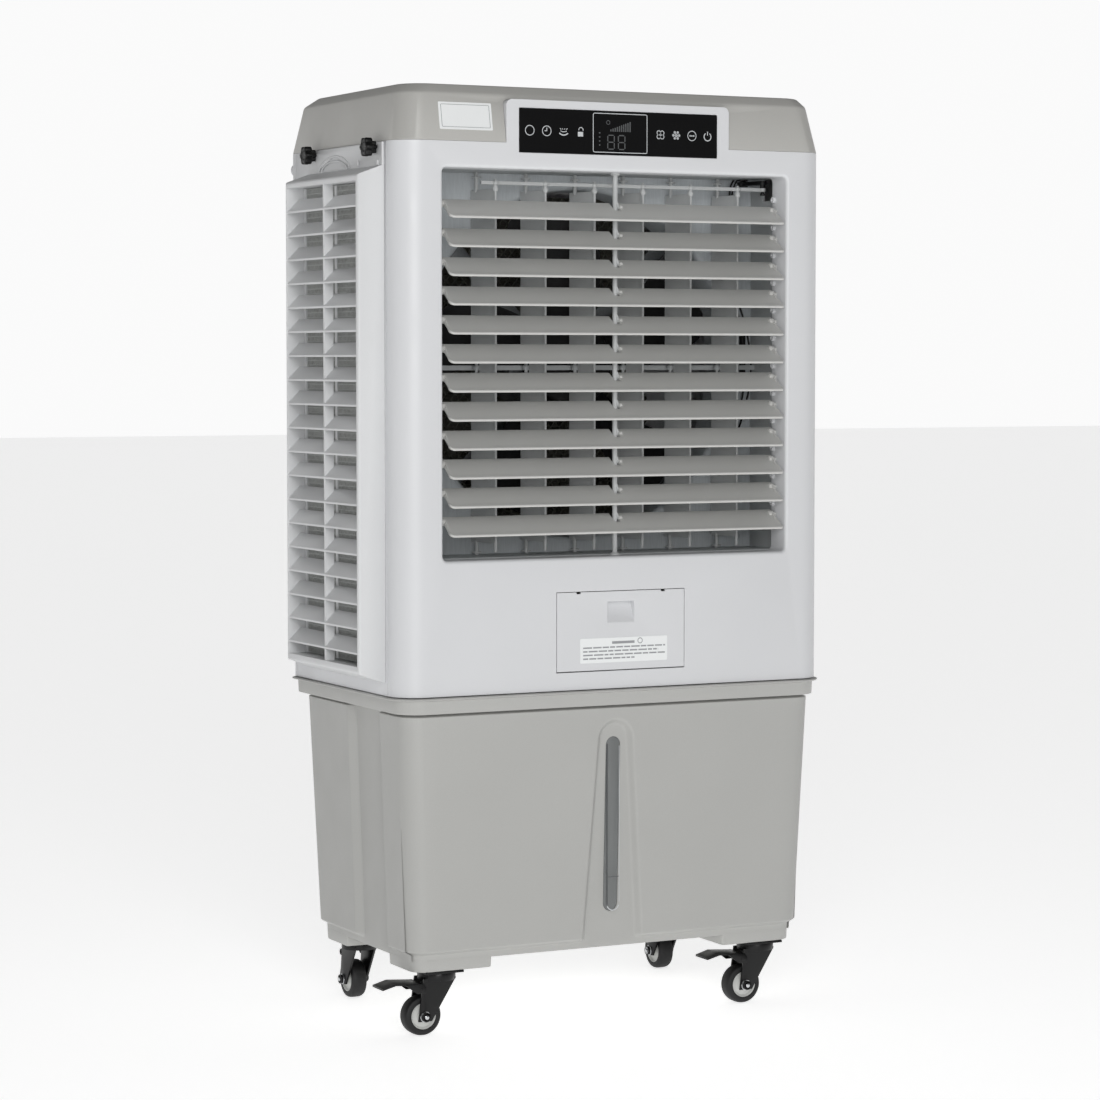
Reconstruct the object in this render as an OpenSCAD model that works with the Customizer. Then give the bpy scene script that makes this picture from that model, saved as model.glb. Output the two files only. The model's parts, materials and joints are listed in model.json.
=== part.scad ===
// Portable evaporative cooler on casters: a water tank below, a white fan housing above it,
// twelve level louvres in front of six upright swinging vanes, an axial fan behind them,
// and removable intake grilles with wet pads on the left side and at the rear.
// Lengths are in millimetres. Each module draws in the housing's own axes: x from the middle of
// the housing, y from its front plane towards the rear, z from the floor.

/* [Housing] */
// Width of the fan housing
body_w = 604; // [590:1:620]
// Depth of the fan housing
body_d = 343; // [340:1:350]
// Height of the joint between tank and housing
body_z = 427; // [424:0.5:432]
// Height of the joint between housing and top cover
seam_z = 1105.6; // [1104:0.2:1107]
// Height of the top of the cover
total_h = 1175.5; // [1165:0.5:1180]
// Radius of the two front corners
front_r = 35; // [25:1:36]
// Radius of the two rear corners
rear_r = 12; // [6:1:14]
// Wall thickness of the moulded panels
wall = 2.8; // [2.4:0.1:3.2]

/* [Air outlet] */
// Width of the outlet opening
outlet_w = 486; // [484:1:488]
// Height of the outlet opening
outlet_h = 480; // [476:1:484]
// Height of the middle of the outlet
outlet_z = 833.4; // [831:0.2:835]
// Height of the highest louvre's pivot
louvre_top_z = 1030.4; // [1028:0.2:1031]
// Distance between louvres
louvre_pitch = 35.5; // [35:0.1:36]
// Slope of the louvres, front edge down
louvre_tilt = 33; // [28:1:36]
// Width of a louvre from front edge to rear edge
louvre_chord = 41; // [38:0.5:41]
// Distance between the upright vanes
vane_pitch = 69.6; // [68:0.2:70]
// Turn of the vanes towards the right
vane_turn = 12; // [6:1:16]
// Radius of the fan blades
fan_r = 212; // [200:1:214]
// Number of fan blades
fan_blades = 5; // [3:1:7]

/* [Water tank] */
// Height of the underside of the tank's feet
foot_z = 82; // [80:1:84]
// Height of the underside of the tank between its feet
skirt_z = 95; // [92:1:97]
// Height of the lower edge of the raised panels
panel_z = 106; // [102:1:110]
// Width of the water level window
window_w = 20; // [16:1:22]

/* [Intake grilles] */
// Width of the left grille's box
grille_w = 231; // [228:1:234]
// Height of both grilles' boxes
grille_h = 634; // [620:1:638]
// Distance that the left grille stands out
grille_out = 36; // [30:1:38]
// Distance between the rain louvres
grille_pitch = 30.4; // [30:0.1:30.6]

/* [Casters] */
// Radius of a caster wheel
wheel_r = 25; // [23:0.5:25]
// Distance of a wheel's axle behind its swivel axis
trail = 22; // [18:1:24]
// Distance of the swivel axes from the middle plane
caster_x = 230; // [222:1:232]

/* [Hidden] */
$fn = 48;
fit = 0.05;               // running clearance of a shaft in its hole
gap = 0.3;                // clearance between parts that move apart
half_w = body_w / 2;
cover_in = 11;            // lean of the cover's faces at its shoulder
// The left grille and the rear hooks stand out of the housing, so the whole object's middle
// lies beside the housing's middle.
lip = 4;                  // projection of the lip round the tank's top
hook_out = 30;            // projection of the cord hooks and the rear grille
frame_x = (grille_out - lip) / 2;
frame_y = -(body_d + hook_out - lip) / 2;

louvre_y = 27;            // depth of the louvre pivots
louvre_x = [-232, 240];   // the two ends of a louvre's blade
support_x = 8;            // place of the centre support
louvre_zs = [for (i = [0:11]) louvre_top_z - i * louvre_pitch];

vane_y = 98;              // depth of the vane pivots
vane_arm = 38.8;          // from a vane's pivot to its link pin
vane_xs = [for (i = [0:5]) -151.4 + i * vane_pitch];
crank_x = 234;
link_z = 1057.2;
link_t = 4.5;
vane_z = [610, 1052];     // lower and upper edge of a vane
frame_w = 260;            // half width of the vane frame and the shroud
rail_z = [590, 1074];     // undersides of the lower and upper vane rails
rail_t = 4;
stay_z = outlet_z - 4;    // height of the bar at the vanes' middle

fan_y = 122;              // front of the fan blades
shroud_y = 114;
duct_r = 222;
shaft_r = 6;

door_w = 181;
door_x = 3;
door_z = [450.5, 549.5];
door_pin_z = 454.5;
door_pin_y = 3;

glass_w = 279;
glass_z = [1094.2, 1148.4];
tab_w = 314;
tab_top = 1159;

grille_y = 158;           // middle of the left grille
grille_z = 443;           // lower edge of both grilles
grille_rim = 5;           // width of the rim beside the opening
grille_open = [20.5, 614.5];    // lower and upper edge of the opening, from the grille's lower edge
grille_slope = 12;        // fall of the box's upper and lower faces towards its outer face
tab_t = 3;                // thickness of the tab under the knobs
pad_out = 9.5;            // how far the left pad stands out of the side panel
pad_t = 38;
rear_grille_w = 430;
knob_z = 1099;
knob_ys = [grille_y - 95.5, grille_y + 95.5];

caster_ys = [52, 291];
plate_w = 26;             // half width of a caster's top plate
plate_t = 3;
kingpin_r = 6;
axle_r = 3;
pedal_pin = [-trail - 6, 60];   // cross pin of a brake pedal, beside its caster's axis
pedal_pin_r = 2.5;
pump_at = [-230, 272];

module in_housing() {
    translate([frame_x, frame_y, 0]) children();
}

// A rectangle from [x0, y0] to [x1, y1] with front corners of radius rf and rear corners of rr.
module plan(x0, y0, x1, y1, rf, rr) {
    difference() {
        translate([x0, y0]) square([x1 - x0, y1 - y0]);
        for (s = [0, 1]) {
            cx = s == 0 ? x0 : x1;
            k = s == 0 ? 1 : -1;
            corner(cx, y0, k, 1, rf);
            corner(cx, y1, k, -1, rr);
        }
    }
}

// What a rounded corner takes away at [x, y], with the solid towards [kx, ky].
module corner(x, y, kx, ky, r) {
    translate([x, y]) difference() {
        translate([kx > 0 ? -1 : -r, ky > 0 ? -1 : -r]) square([r + 1, r + 1]);
        translate([kx * r, ky * r]) circle(r);
    }
}

// A box from corner a to corner b.
module block(a, b) {
    translate(a) cube(b - a);
}

// A rod along x, y or z from a for length l.
module rod_x(a, l, r) {
    translate(a) rotate([0, 90, 0]) cylinder(h = l, r = r);
}

module rod_y(a, l, r) {
    translate(a) rotate([-90, 0, 0]) cylinder(h = l, r = r);
}

module rod_z(a, l, r) {
    translate(a) cylinder(h = l, r = r);
}

// ---- Water tank

// Tapered body between two plans, drawn in by t on every side.
module tank_form(low_z, low_in, high_in, t, r) {
    hull() {
        translate([0, 0, low_z])
            linear_extrude(0.1)
                plan(-291 + low_in + t, 6 + low_in + t, 291 - low_in - t, 337 - low_in - t, r, r);
        translate([0, 0, 405])
            linear_extrude(1)
                plan(-291 + high_in + t, 6 + high_in + t, 291 - high_in - t, 337 - high_in - t, r, r);
    }
}

// The hollows between the raised panels, widened by w at each edge.
module tank_recess(w) {
    rotate([90, 0, 0]) translate([0, 0, -60]) linear_extrude(80) {
        polygon([[-40 - w, panel_z - 10], [40 + w, panel_z - 10], [22 + w, 366], [-22 - w, 366]]);
        translate([0, 362]) circle(22 + w);
    }
    for (s = [-1, 1])
        translate([s * 290 - 40, 92 - w, panel_z - 10]) cube([80, 92 + 2 * w, 400]);
}

module tank_skin(t) {
    tank_form(foot_z + t, 20, 8, t, 22 - t);
    difference() {
        tank_form(panel_z + t, 11, 0, t, 25 - t);
        tank_recess(t);
    }
}

module tank() color("#b4b2ae") in_housing() {
    foot_l = 105;
    difference() {
        union() {
            difference() {
                tank_skin(0);
                translate([0, 0, skirt_z - foot_z + 4]) intersection() {
                    tank_skin(3.5);
                    block([-300, 0, foot_z], [300, 343, 460]);
                }
                for (s = [0, 1]) {
                    // arches between the feet
                    block([-271 + foot_l, -1, foot_z - 1], [271 - foot_l, 344, skirt_z]);
                    block([-303, 26 + 78, foot_z - 1], [303, 317 - 78, skirt_z]);
                }
            }
            // band and lip that the housing stands on
            translate([0, 0, 405.5]) linear_extrude(body_z - 405.5 - 3.6) difference() {
                plan(-298, 1, 298, 342, 32, rear_r);
                plan(-280, 16, 280, 327, 22, 10);
            }
            translate([0, 0, body_z - 3.6]) linear_extrude(3.6) difference() {
                plan(-half_w - lip, -lip, half_w + lip, body_d + 1, front_r + 3, rear_r);
                plan(-280, 16, 280, 327, 22, 10);
            }
            // boss of the drain
            rod_y([200, 309, 128], 22, 16);
        }
        // slot of the level window
        rotate([90, 0, 0]) translate([0, 0, -60]) linear_extrude(80) window_outline(0);
        // drain hole
        rod_y([200, 290, 128], 60, 9);
    }
}

module window_outline(grow) {
    r = window_w / 2 + grow;
    translate([-r, 151]) square([2 * r, 203]);
    translate([0, 151]) circle(r);
    translate([0, 354]) circle(r);
}

// Clear strip that closes the slot, sloped like the wall.
module level_window() color("#9fa3a3", 0.6) in_housing() {
    intersection() {
        rotate([90, 0, 0]) translate([0, 0, -60]) linear_extrude(80) window_outline(0);
        rotate([90, 0, 90]) translate([0, 0, -20]) linear_extrude(40)
            polygon([[24.6, 130], [27.4, 130], [18.2, 380], [15.4, 380]]);
    }
}

// Plug with a winged head, turned out of the drain hole.
module drain_plug() color("#262728") in_housing() {
    rod_y([200, 312, 128], 23, 9 - fit);
    rod_y([200, 331.4, 128], 8, 14);
    block([196, 339, 117], [204, 345, 139]);
}

// ---- Housing panels

module front_panel() color("#e9ecef") in_housing() {
    z0 = outlet_z - outlet_h / 2;
    z1 = outlet_z + outlet_h / 2;
    w = outlet_w / 2;
    difference() {
        union() {
            translate([0, 0, body_z]) linear_extrude(seam_z - body_z) difference() {
                plan(-half_w, 0, half_w, 90, front_r, 1);
                plan(-half_w + wall, wall, half_w - wall, 100, front_r - wall, 1);
                translate([-half_w - 1, 37]) square([body_w + 2, 90]);
            }
            // tab behind the control glass, in front of the cover
            translate([0, 12, seam_z - 12]) rotate([90, 0, 0]) linear_extrude(12)
                plan(-tab_w / 2, 0, tab_w / 2, tab_top - seam_z + 12, 0.5, 8);
            // sleeve of the outlet
            block([-w - 2.5, 1, z0 - 2.5], [w + 2.5, 36.5, z1 + 2.5]);
            for (z = louvre_zs, s = [-1, 1])
                rod_x([s * (w + 3.5) - 3.5, louvre_y, z], 7, 5);
            // bosses of the fill door's pins
            for (s = [-1, 1])
                block([door_x + s * 93.5 - 2.5, 0.5, 446], [door_x + s * 93.5 + 2.5, 9, 462]);
        }
        translate([0, 50, z0]) rotate([90, 0, 0]) linear_extrude(60)
            plan(-w, 0, w, outlet_h, 6, 6);
        for (z = louvre_zs)
            rod_x([-w - 5, louvre_y, z], 2 * w + 10, 2.5 + fit);
        // fill opening
        block([door_x - door_w / 2 - 0.8, -1, door_z[0] - 1.5],
            [door_x + door_w / 2 + 0.8, 20, door_z[1] + 0.8]);
        rod_x([door_x - 95.5, door_pin_y, door_pin_z], 191, 2 + fit);
        // pocket of the control glass
        block([-glass_w / 2, -1, glass_z[0]], [glass_w / 2, 3.4, glass_z[1]]);
    }
}

module control_glass() color("#0c0d0e") in_housing() {
    block([-glass_w / 2, -0.6, glass_z[0]], [glass_w / 2, 3.4, glass_z[1]]);
}

// Door of the fill opening: hinged on two pins at its lower edge, with a finger pocket above.
module fill_door() color("#e4e7ea") in_housing() {
    difference() {
        union() {
            block([door_x - door_w / 2, 0, door_z[0]], [door_x + door_w / 2, wall, door_z[1]]);
            block([door_x - 21, 1, 506], [door_x + 21, 14, 548]);
            for (s = [-1, 1])
                block([door_x + s * 88 - 2.5, 1, door_pin_z - 4], [door_x + s * 88 + 2.5, 6, door_pin_z + 6]);
            rod_x([door_x - 94.5, door_pin_y, door_pin_z], 8, 2);
            rod_x([door_x + 86.5, door_pin_y, door_pin_z], 8, 2);
        }
        // pocket: deep at the top, running out at the bottom
        rotate([90, 0, 90]) translate([0, 0, door_x - 19]) linear_extrude(38)
            polygon([[-1, 508], [-1, 546], [12, 546], [12, 538]]);
        for (s = [-1, 1])
            block([door_x + s * 60 - 3, -1, door_z[1] - 2.5], [door_x + s * 60 + 3, 5, door_z[1] + 1]);
    }
}

// Left side: a frame round the intake, closed by the grille.
module side_panel_left() color("#e9ecef") in_housing() {
    half = grille_w / 2 - grille_rim;
    difference() {
        union() {
            block([-half_w, 37.3, body_z], [-half_w + wall, body_d - 18.3, seam_z]);
            for (y = knob_ys)
                rod_x([-half_w, y, knob_z], 14, 6);
        }
        block([-half_w - 1, grille_y - half - 1, grille_z + 17], [-half_w + 9, grille_y + half + 1, grille_z + 618]);
        for (y = knob_ys)
            rod_x([-half_w - 1, y, knob_z], 12, 2.5 + gap);
    }
}

module side_panel_right() color("#e9ecef") in_housing() {
    block([half_w - wall, 37.3, body_z], [half_w, body_d - 18.3, seam_z]);
}

module rear_panel() color("#e9ecef") in_housing() {
    half = rear_grille_w / 2 - grille_rim;
    difference() {
        union() {
            translate([0, 0, body_z]) linear_extrude(seam_z - body_z) difference() {
                plan(-half_w, body_d - 80, half_w, body_d, 1, rear_r);
                plan(-half_w + wall, body_d - 90, half_w - wall, body_d - wall, 1, rear_r - wall);
                translate([-half_w - 1, body_d - 100]) square([body_w + 2, 82]);
            }
            cord_hook(1087);
            cord_hook(960);
        }
        block([-half - 1, body_d - 9, grille_z + 17], [half + 1, body_d + 1, grille_z + 618]);
        block([240, body_d - 9, 466], [270, body_d + 1, 494]);
        rod_y([-255, body_d - 9, 470], 12, 10);
    }
}

// Hook that the mains lead is wound round.
module cord_hook(z) {
    rod_y([-280, body_d - wall, z], hook_out, 5);
    rod_y([-280, body_d + hook_out - 4, z], 4, 9);
}

// Cover with leaning faces, a bevelled top edge and a slope at the rear of the top.
module top_cover() color("#b7b5b0") in_housing() {
    difference() {
        cover_form(0);
        translate([0, 0, -1]) cover_form(3);
        block([-tab_w / 2 - 0.4, -1, seam_z - 2], [tab_w / 2 + 0.4, 12.2, tab_top + 0.4]);
    }
}

module cover_form(t) {
    shoulder = total_h - 11;
    hull() {
        translate([0, 0, seam_z])
            linear_extrude(0.1) plan(-half_w + t, t, half_w - t, body_d - t, front_r - t, rear_r - t);
        translate([0, 0, shoulder - t])
            linear_extrude(0.1)
                plan(-half_w + cover_in + t, cover_in + t, half_w - cover_in - t,
                    body_d - cover_in - t, front_r - t, rear_r - t);
        translate([0, 0, total_h - 0.1 - t])
            linear_extrude(0.1)
                plan(-half_w + 20 + t, 20 + t, half_w - 20 - t, body_d - 41 - t, 28 - t, rear_r - t);
    }
}

// ---- Louvres

module louvre(i) color("#a9a8a4") in_housing() {
    x0 = louvre_x[0];
    x1 = louvre_x[1];
    translate([0, louvre_y, louvre_zs[i]]) rotate([louvre_tilt, 0, 0]) difference() {
        union() {
            translate([0, 0, -1.1]) linear_extrude(2.2) difference() {
                translate([x0, 10 - louvre_chord]) square([x1 - x0, louvre_chord]);
                corner(x0, 10 - louvre_chord, 1, 1, 6);
            }
            // bead along the front edge
            rod_x([x0 + 6, 11.2 - louvre_chord, -0.2], x1 - x0 - 7, 1.6);
            // knuckles and end pins
            rod_x([-240, 0, 0], 11, 4.5);
            rod_x([-247, 0, 0], 8, 2.5);
            rod_x([232.5, 0, 0], 7, 4.5);
            rod_x([239, 0, 0], 8, 2.5);
            // eye that hangs on the centre support
            rod_x([support_x + 5, 0, 0], 4.5, 3.4);
        }
        block([support_x - 4.8, -9, -8], [support_x + 4.8, 12, 8]);
        rod_x([support_x, 0, 0], 10.5, 1.5 + fit);
    }
}

// Post in the middle of the outlet, with one stub for each louvre's eye.
module louvre_support() color("#d9dbdc") in_housing() {
    z0 = outlet_z - outlet_h / 2;
    rod_z([support_x, louvre_y, z0], outlet_h, 3.5);
    rod_z([support_x, louvre_y, z0], 2.5, 6.5);
    rod_z([support_x, louvre_y, z0 + outlet_h - 2.5], 2.5, 6.5);
    for (z = louvre_zs)
        rod_x([support_x, louvre_y, z], 10, 1.5);
}

// ---- Swinging vanes

module vane(i) color("#c3c5c6") in_housing() {
    z0 = vane_z[0];
    z1 = vane_z[1];
    translate([vane_xs[i], vane_y, 0]) rotate([0, 0, vane_turn]) difference() {
        union() {
            block([-1.1, -39.6, z0], [1.1, 10.4, z1]);
            rod_z([0, -39.2, z0], z1 - z0, 1.5);
            // pivot pin with a washer at each end
            rod_z([0, 0, rail_z[0] + 1.5], rail_z[1] - rail_z[0] + 1, 2.5);
            rod_z([0, 0, 596], 2, 6);
            rod_z([0, 0, 1067], 2, 6);
            // link pin on a cone, and the stub at the vane's foot
            rod_z([0, -vane_arm, z1 - 2], 14, 1.75);
            translate([0, -vane_arm, z1]) cylinder(h = 4, r1 = 4, r2 = 2.2);
            rod_z([0, -vane_arm, z0 - 11], 12, 2.2);
        }
        // room for the stay bar, crossed by a thin pin
        difference() {
            block([-5, -7, stay_z - 6], [5, 12, stay_z + 6]);
            rod_z([0, 0, stay_z - 8], 16, 2);
        }
    }
}

// Frame that carries the vanes: two rails, two cheeks and a stay bar with an eye for each vane.
module vane_frame() color("#c9cccd") in_housing() {
    w = frame_w;
    difference() {
        union() {
            for (z = rail_z)
                block([-w, 37, z], [w, 113.5, z + rail_t]);
            for (s = [-1, 1])
                block([s * (w - 2) - 2, 37, rail_z[0]], [s * (w - 2) + 2, 113.5, rail_z[1] + rail_t]);
            block([-w + 2, vane_y + 5, stay_z - 3], [w - 2, vane_y + 9, stay_z + 3]);
            for (x = vane_xs) {
                rod_z([x, vane_y, stay_z - 3], 6, 5);
                block([x - 3, vane_y + 3, stay_z - 3], [x + 3, vane_y + 7, stay_z + 3]);
            }
        }
        for (x = vane_xs) {
            rod_z([x, vane_y, rail_z[0] + 1], 6, 2.5 + fit);
            rod_z([x, vane_y, rail_z[1] - 1], 6, 2.5 + fit);
            rod_z([x, vane_y, stay_z - 4], 8, 2 + fit);
        }
        rod_z([crank_x, vane_y, rail_z[1] - 1], 6, 8);
        // window that the crank swings through
        block([w - 5, 54, 1046], [w + 1, 84, rail_z[1]]);
    }
}

function arm_x(x) = x + vane_arm * sin(vane_turn);
arm_y = vane_y - vane_arm * cos(vane_turn);

// Thin bar that turns all the vanes together.
module vane_link() color("#d5d7d8") in_housing() {
    pins = concat(vane_xs, [crank_x]);
    difference() {
        union() {
            block([arm_x(pins[0]) - 20, arm_y - 1.5, link_z], [arm_x(crank_x), arm_y + 1.5, link_z + link_t]);
            for (x = pins)
                rod_z([arm_x(x), arm_y, link_z], link_t, 4);
        }
        for (x = pins)
            rod_z([arm_x(x), arm_y, link_z - 1], link_t + 2, 1.75 + fit);
    }
}

module swing_crank() color("#141414") in_housing() {
    translate([crank_x, vane_y, 0]) rotate([0, 0, vane_turn]) {
        difference() {
            union() {
                rod_z([0, 0, 1065], 6, 7);
                block([-5, -vane_arm, 1066], [5, 0, 1071]);
                rod_z([0, -vane_arm, 1066], 5, 5);
            }
            rod_z([0, 0, 1064], 8, 2.5 + fit);
        }
        rod_z([0, -vane_arm, 1052], 15, 1.75);
        rod_z([0, -vane_arm, 1052], 3, 3);
        rod_z([0, -vane_arm, link_z + link_t + gap], 5, 3.4);
    }
}

module swing_motor() color("#2a2b2c") in_housing() {
    rod_z([crank_x, vane_y, rail_z[1] + rail_t], 15, 22);
    rod_z([crank_x, vane_y, 1066], 14, 2.5);
    rod_z([crank_x, vane_y, 1072], 8, 7);
}

// ---- Fan

module fan_shroud() color("#d2d5d6") in_housing() {
    z0 = rail_z[0];
    z1 = rail_z[1] + rail_t;
    difference() {
        union() {
            block([-frame_w, shroud_y, z0], [frame_w, shroud_y + 2.5, z1]);
            rod_y([0, shroud_y, outlet_z], 58, duct_r + 2.5);
        }
        rod_y([0, shroud_y - 1, outlet_z], 62, duct_r);
    }
}

module fan() color("#17181a") in_housing() {
    depth = 40;
    translate([0, fan_y, outlet_z]) rotate([-90, 0, 0]) difference() {
        union() {
            cylinder(h = depth, r = 58);
            intersection() {
                difference() {
                    cylinder(h = depth, r = fan_r);
                    translate([0, 0, -1]) cylinder(h = depth + 2, r = 50);
                }
                for (k = [0 : fan_blades - 1])
                    rotate([0, 0, k * 360 / fan_blades]) rotate([28, 0, 0])
                        translate([40, -60, depth / 2 - 1.5]) cube([fan_r, 120, 3]);
            }
        }
        translate([0, 0, -1]) cylinder(h = depth + 2, r = shaft_r + fit);
        // hollow of the hub
        translate([0, 0, 6]) difference() {
            cylinder(h = depth, r = 50);
            cylinder(h = depth, r = 14);
        }
    }
}

module fan_motor() color("#8d9092") in_housing() {
    rod_y([0, fan_y + 50, outlet_z], 78, 62);
    rod_y([0, fan_y - 4, outlet_z], 56, shaft_r);
    rod_y([0, fan_y - 8, outlet_z], 5, 10);
}

// Four arms that hold the motor on the duct's rear edge.
module motor_bracket() color("#6f7375") in_housing() {
    y0 = shroud_y + 58;
    difference() {
        union() {
            rod_y([0, y0, outlet_z], 8, 70);
            for (k = [0:3])
                translate([0, y0, outlet_z]) rotate([0, 45 + 90 * k, 0])
                    block([60, 0, -10], [duct_r + 2, 5, 10]);
        }
        rod_y([0, y0 - 1, outlet_z], 10, 62);
    }
}

// ---- Water circuit

module pump() color("#1d1e20") in_housing() {
    translate([pump_at[0], pump_at[1], 0]) {
        rod_z([0, 0, 103], 8, 30);
        rod_z([0, 0, 110], 46, 24);
        rod_z([0, 0, 155], 17, 9);
    }
}

module riser_hose() color("#c9cdd0") in_housing() {
    difference() {
        rod_z([pump_at[0], pump_at[1], 172], 890, 8);
        rod_z([pump_at[0], pump_at[1], 171], 892, 5.5);
    }
}

// Trough with drip holes above the two pads.
module water_distributor() color("#dfe2e4") in_housing() {
    difference() {
        union() {
            block([-298, 48, 1062], [-262, 276, 1080]);
            block([-298, 262, 1062], [-212, 276, 1080]);
            block([-295, 262, 1062], [-212, 335, 1080]);
            block([-295, 302, 1062], [208, 335, 1080]);
        }
        block([-296, 50, 1064.5], [-264, 274, 1081]);
        block([-293, 264, 1064.5], [-214, 333, 1081]);
        block([-293, 304, 1064.5], [206, 333, 1081]);
        for (k = [0:7])
            rod_z([-288, 66 + k * 26, 1061], 5, 2);
        for (k = [0:14])
            rod_z([-195 + k * 27, 322, 1061], 5, 2);
    }
}

module power_inlet() color("#1b1c1d") in_housing() {
    difference() {
        union() {
            block([240, body_d - 16, 466], [270, body_d, 494]);
            block([232, body_d, 461], [278, body_d + 3, 499]);
        }
        block([243, body_d - 13, 470], [267, body_d + 4, 490]);
    }
    for (x = [249, 255, 261])
        block([x - 1, body_d - 14, x == 255 ? 481 : 475], [x + 1, body_d, x == 255 ? 486 : 480]);
}

// Hose spigot of the automatic refill.
module water_inlet() color("#e6e8ea") in_housing() {
    difference() {
        union() {
            rod_y([-255, body_d - 24, 470], 24, 9.9);
            rod_y([-255, body_d, 470], 4, 15);
            rod_y([-255, body_d + 4, 470], 20, 10);
        }
        rod_y([-255, body_d - 25, 470], 50, 6);
    }
}

// ---- Intake grilles

// Outline of a grille's box in depth and height, drawn in by t: its upper and lower faces fall
// towards the outer face, whose edges are rounded.
module grille_side(depth, t) {
    h = grille_h;
    hull() {
        translate([depth - 1, t]) square([1, h - 2 * t]);
        translate([5, grille_slope + 4]) circle(5 - t);
        translate([5, h - grille_slope - 4]) circle(5 - t);
    }
}

// Grille with its outer face at x = 0 and its box from there to x = depth, drawn for a width w
// along y. Its rain louvres fall outwards, and ribs stand between them.
module grille(w, depth, ribs) {
    open_w = w - 2 * grille_rim;
    open_h = grille_open[1] - grille_open[0];
    difference() {
        intersection() {
            rotate([90, 0, 0]) translate([0, 0, -w / 2]) linear_extrude(w) grille_side(depth, 0);
            translate([0, -w / 2, 0]) linear_extrude(grille_h) difference() {
                square([depth, w]);
                corner(0, 0, 1, 1, 3.5);
                corner(0, w, 1, -1, 3.5);
            }
        }
        translate([-1, -open_w / 2, grille_open[0]]) cube([depth + 2, open_w, open_h]);
        translate([0, -w / 2 + 2.5, 0]) intersection() {
            translate([2.5, 0, 2.5]) cube([depth, w - 5, grille_h - 5]);
            translate([0, w, 0]) rotate([90, 0, 0]) linear_extrude(w + 5) {
                grille_side(depth, 2.5);
                translate([depth - 2, 2.5]) square([4, grille_h - 5]);
            }
        }
    }
    // liner of the opening
    difference() {
        translate([1, -open_w / 2 - 3, grille_open[0] - 2.5]) cube([depth - 1, open_w + 6, open_h + 5]);
        translate([0, -open_w / 2, grille_open[0]]) cube([depth + 1, open_w, open_h]);
    }
    for (k = [0:18])
        translate([0, -open_w / 2 - 1, 35.3 + k * grille_pitch]) rotate([90, 0, 0])
            translate([0, 0, -open_w - 2]) linear_extrude(open_w + 2)
                polygon([[1, 0], [1, 2.4], [16.6, 17.8], [18.4, 16.2], [3.2, 0]]);
    for (y = ribs)
        translate([2, y - 2, grille_open[0] - 1]) cube([12, 4, open_h + 2]);
}

module intake_grille_left() color("#e1e3e4") in_housing() {
    x1 = -half_w - gap;
    difference() {
        union() {
            translate([-half_w - grille_out, grille_y, grille_z])
                grille(grille_w, grille_out - gap, [-5.5]);
            // tab under the knobs
            block([x1 - tab_t, grille_y - grille_w / 2, grille_z + grille_h - 3],
                [x1, grille_y + grille_w / 2, seam_z - 1]);
        }
        // arched finger recess in the tab
        translate([x1 - tab_t - 1, 0, 0]) rotate([90, 0, 90]) linear_extrude(2.6) difference() {
            hull() {
                translate([grille_y + 32, knob_z - 22.4]) circle(18);
                translate([grille_y - 15, knob_z - 22.4]) circle(4);
                translate([grille_y + 79, knob_z - 22.4]) circle(4);
            }
            translate([0, grille_z + grille_h - 30]) square([400, 30]);
        }
        for (y = knob_ys)
            rod_x([x1 - tab_t - 1, y, knob_z], tab_t + 2, 2.5 + fit);
    }
}

module intake_grille_rear() color("#e1e3e4") in_housing() {
    w = rear_grille_w;
    translate([0, body_d + hook_out, grille_z]) rotate([0, 0, -90])
        grille(w, hook_out - gap, [-w / 6, w / 6]);
}

// Pads: blocks of corrugated paper that the water runs through.
module pad_left() color("#8f8d80") in_housing() {
    half = grille_w / 2 - grille_rim - 0.5;
    block([-half_w - pad_out, grille_y - half, grille_z + grille_open[0] + 0.5],
        [-half_w - pad_out + pad_t, grille_y + half, grille_z + grille_open[1] - 0.5]);
}

module pad_rear() color("#8f8d80") in_housing() {
    half = rear_grille_w / 2 - grille_rim - 0.5;
    block([-half, body_d + 7 - pad_t, grille_z + grille_open[0] + 0.5],
        [half, body_d + 7, grille_z + grille_open[1] - 0.5]);
}

// Six-lobed knob on a screw.
module knob(y) color("#151515") in_housing() {
    translate([-half_w - gap - tab_t - gap, y, knob_z]) rotate([0, -90, 0]) {
        translate([0, 0, -12]) cylinder(h = 16, r = 2.5);
        cylinder(h = 6, r = 7);
        translate([0, 0, 6]) linear_extrude(10) {
            circle(9.2);
            for (k = [0:5])
                rotate([0, 0, 60 * k]) translate([8.6, 0]) circle(3.9);
        }
    }
}

// ---- Casters

caster_at = [[-caster_x, caster_ys[0]], [caster_x, caster_ys[0]],
    [-caster_x, caster_ys[1]], [caster_x, caster_ys[1]]];
caster_turn = [0, 0, -90, -90];   // heading of each fork: 0 trails towards -x

module at_caster(i) {
    translate([caster_at[i][0], caster_at[i][1], 0]) rotate([0, 0, caster_turn[i]]) children();
}

module caster_plates() color("#1a1b1c") in_housing() {
    for (i = [0:3]) at_caster(i) {
        block([-plate_w, -plate_w, foot_z - plate_t], [plate_w, plate_w, foot_z]);
        rod_z([0, 0, 68], foot_z - plate_t - 68 + 1, kingpin_r);
        rod_z([0, 0, 66.5], 2, 10);
    }
}

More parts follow.
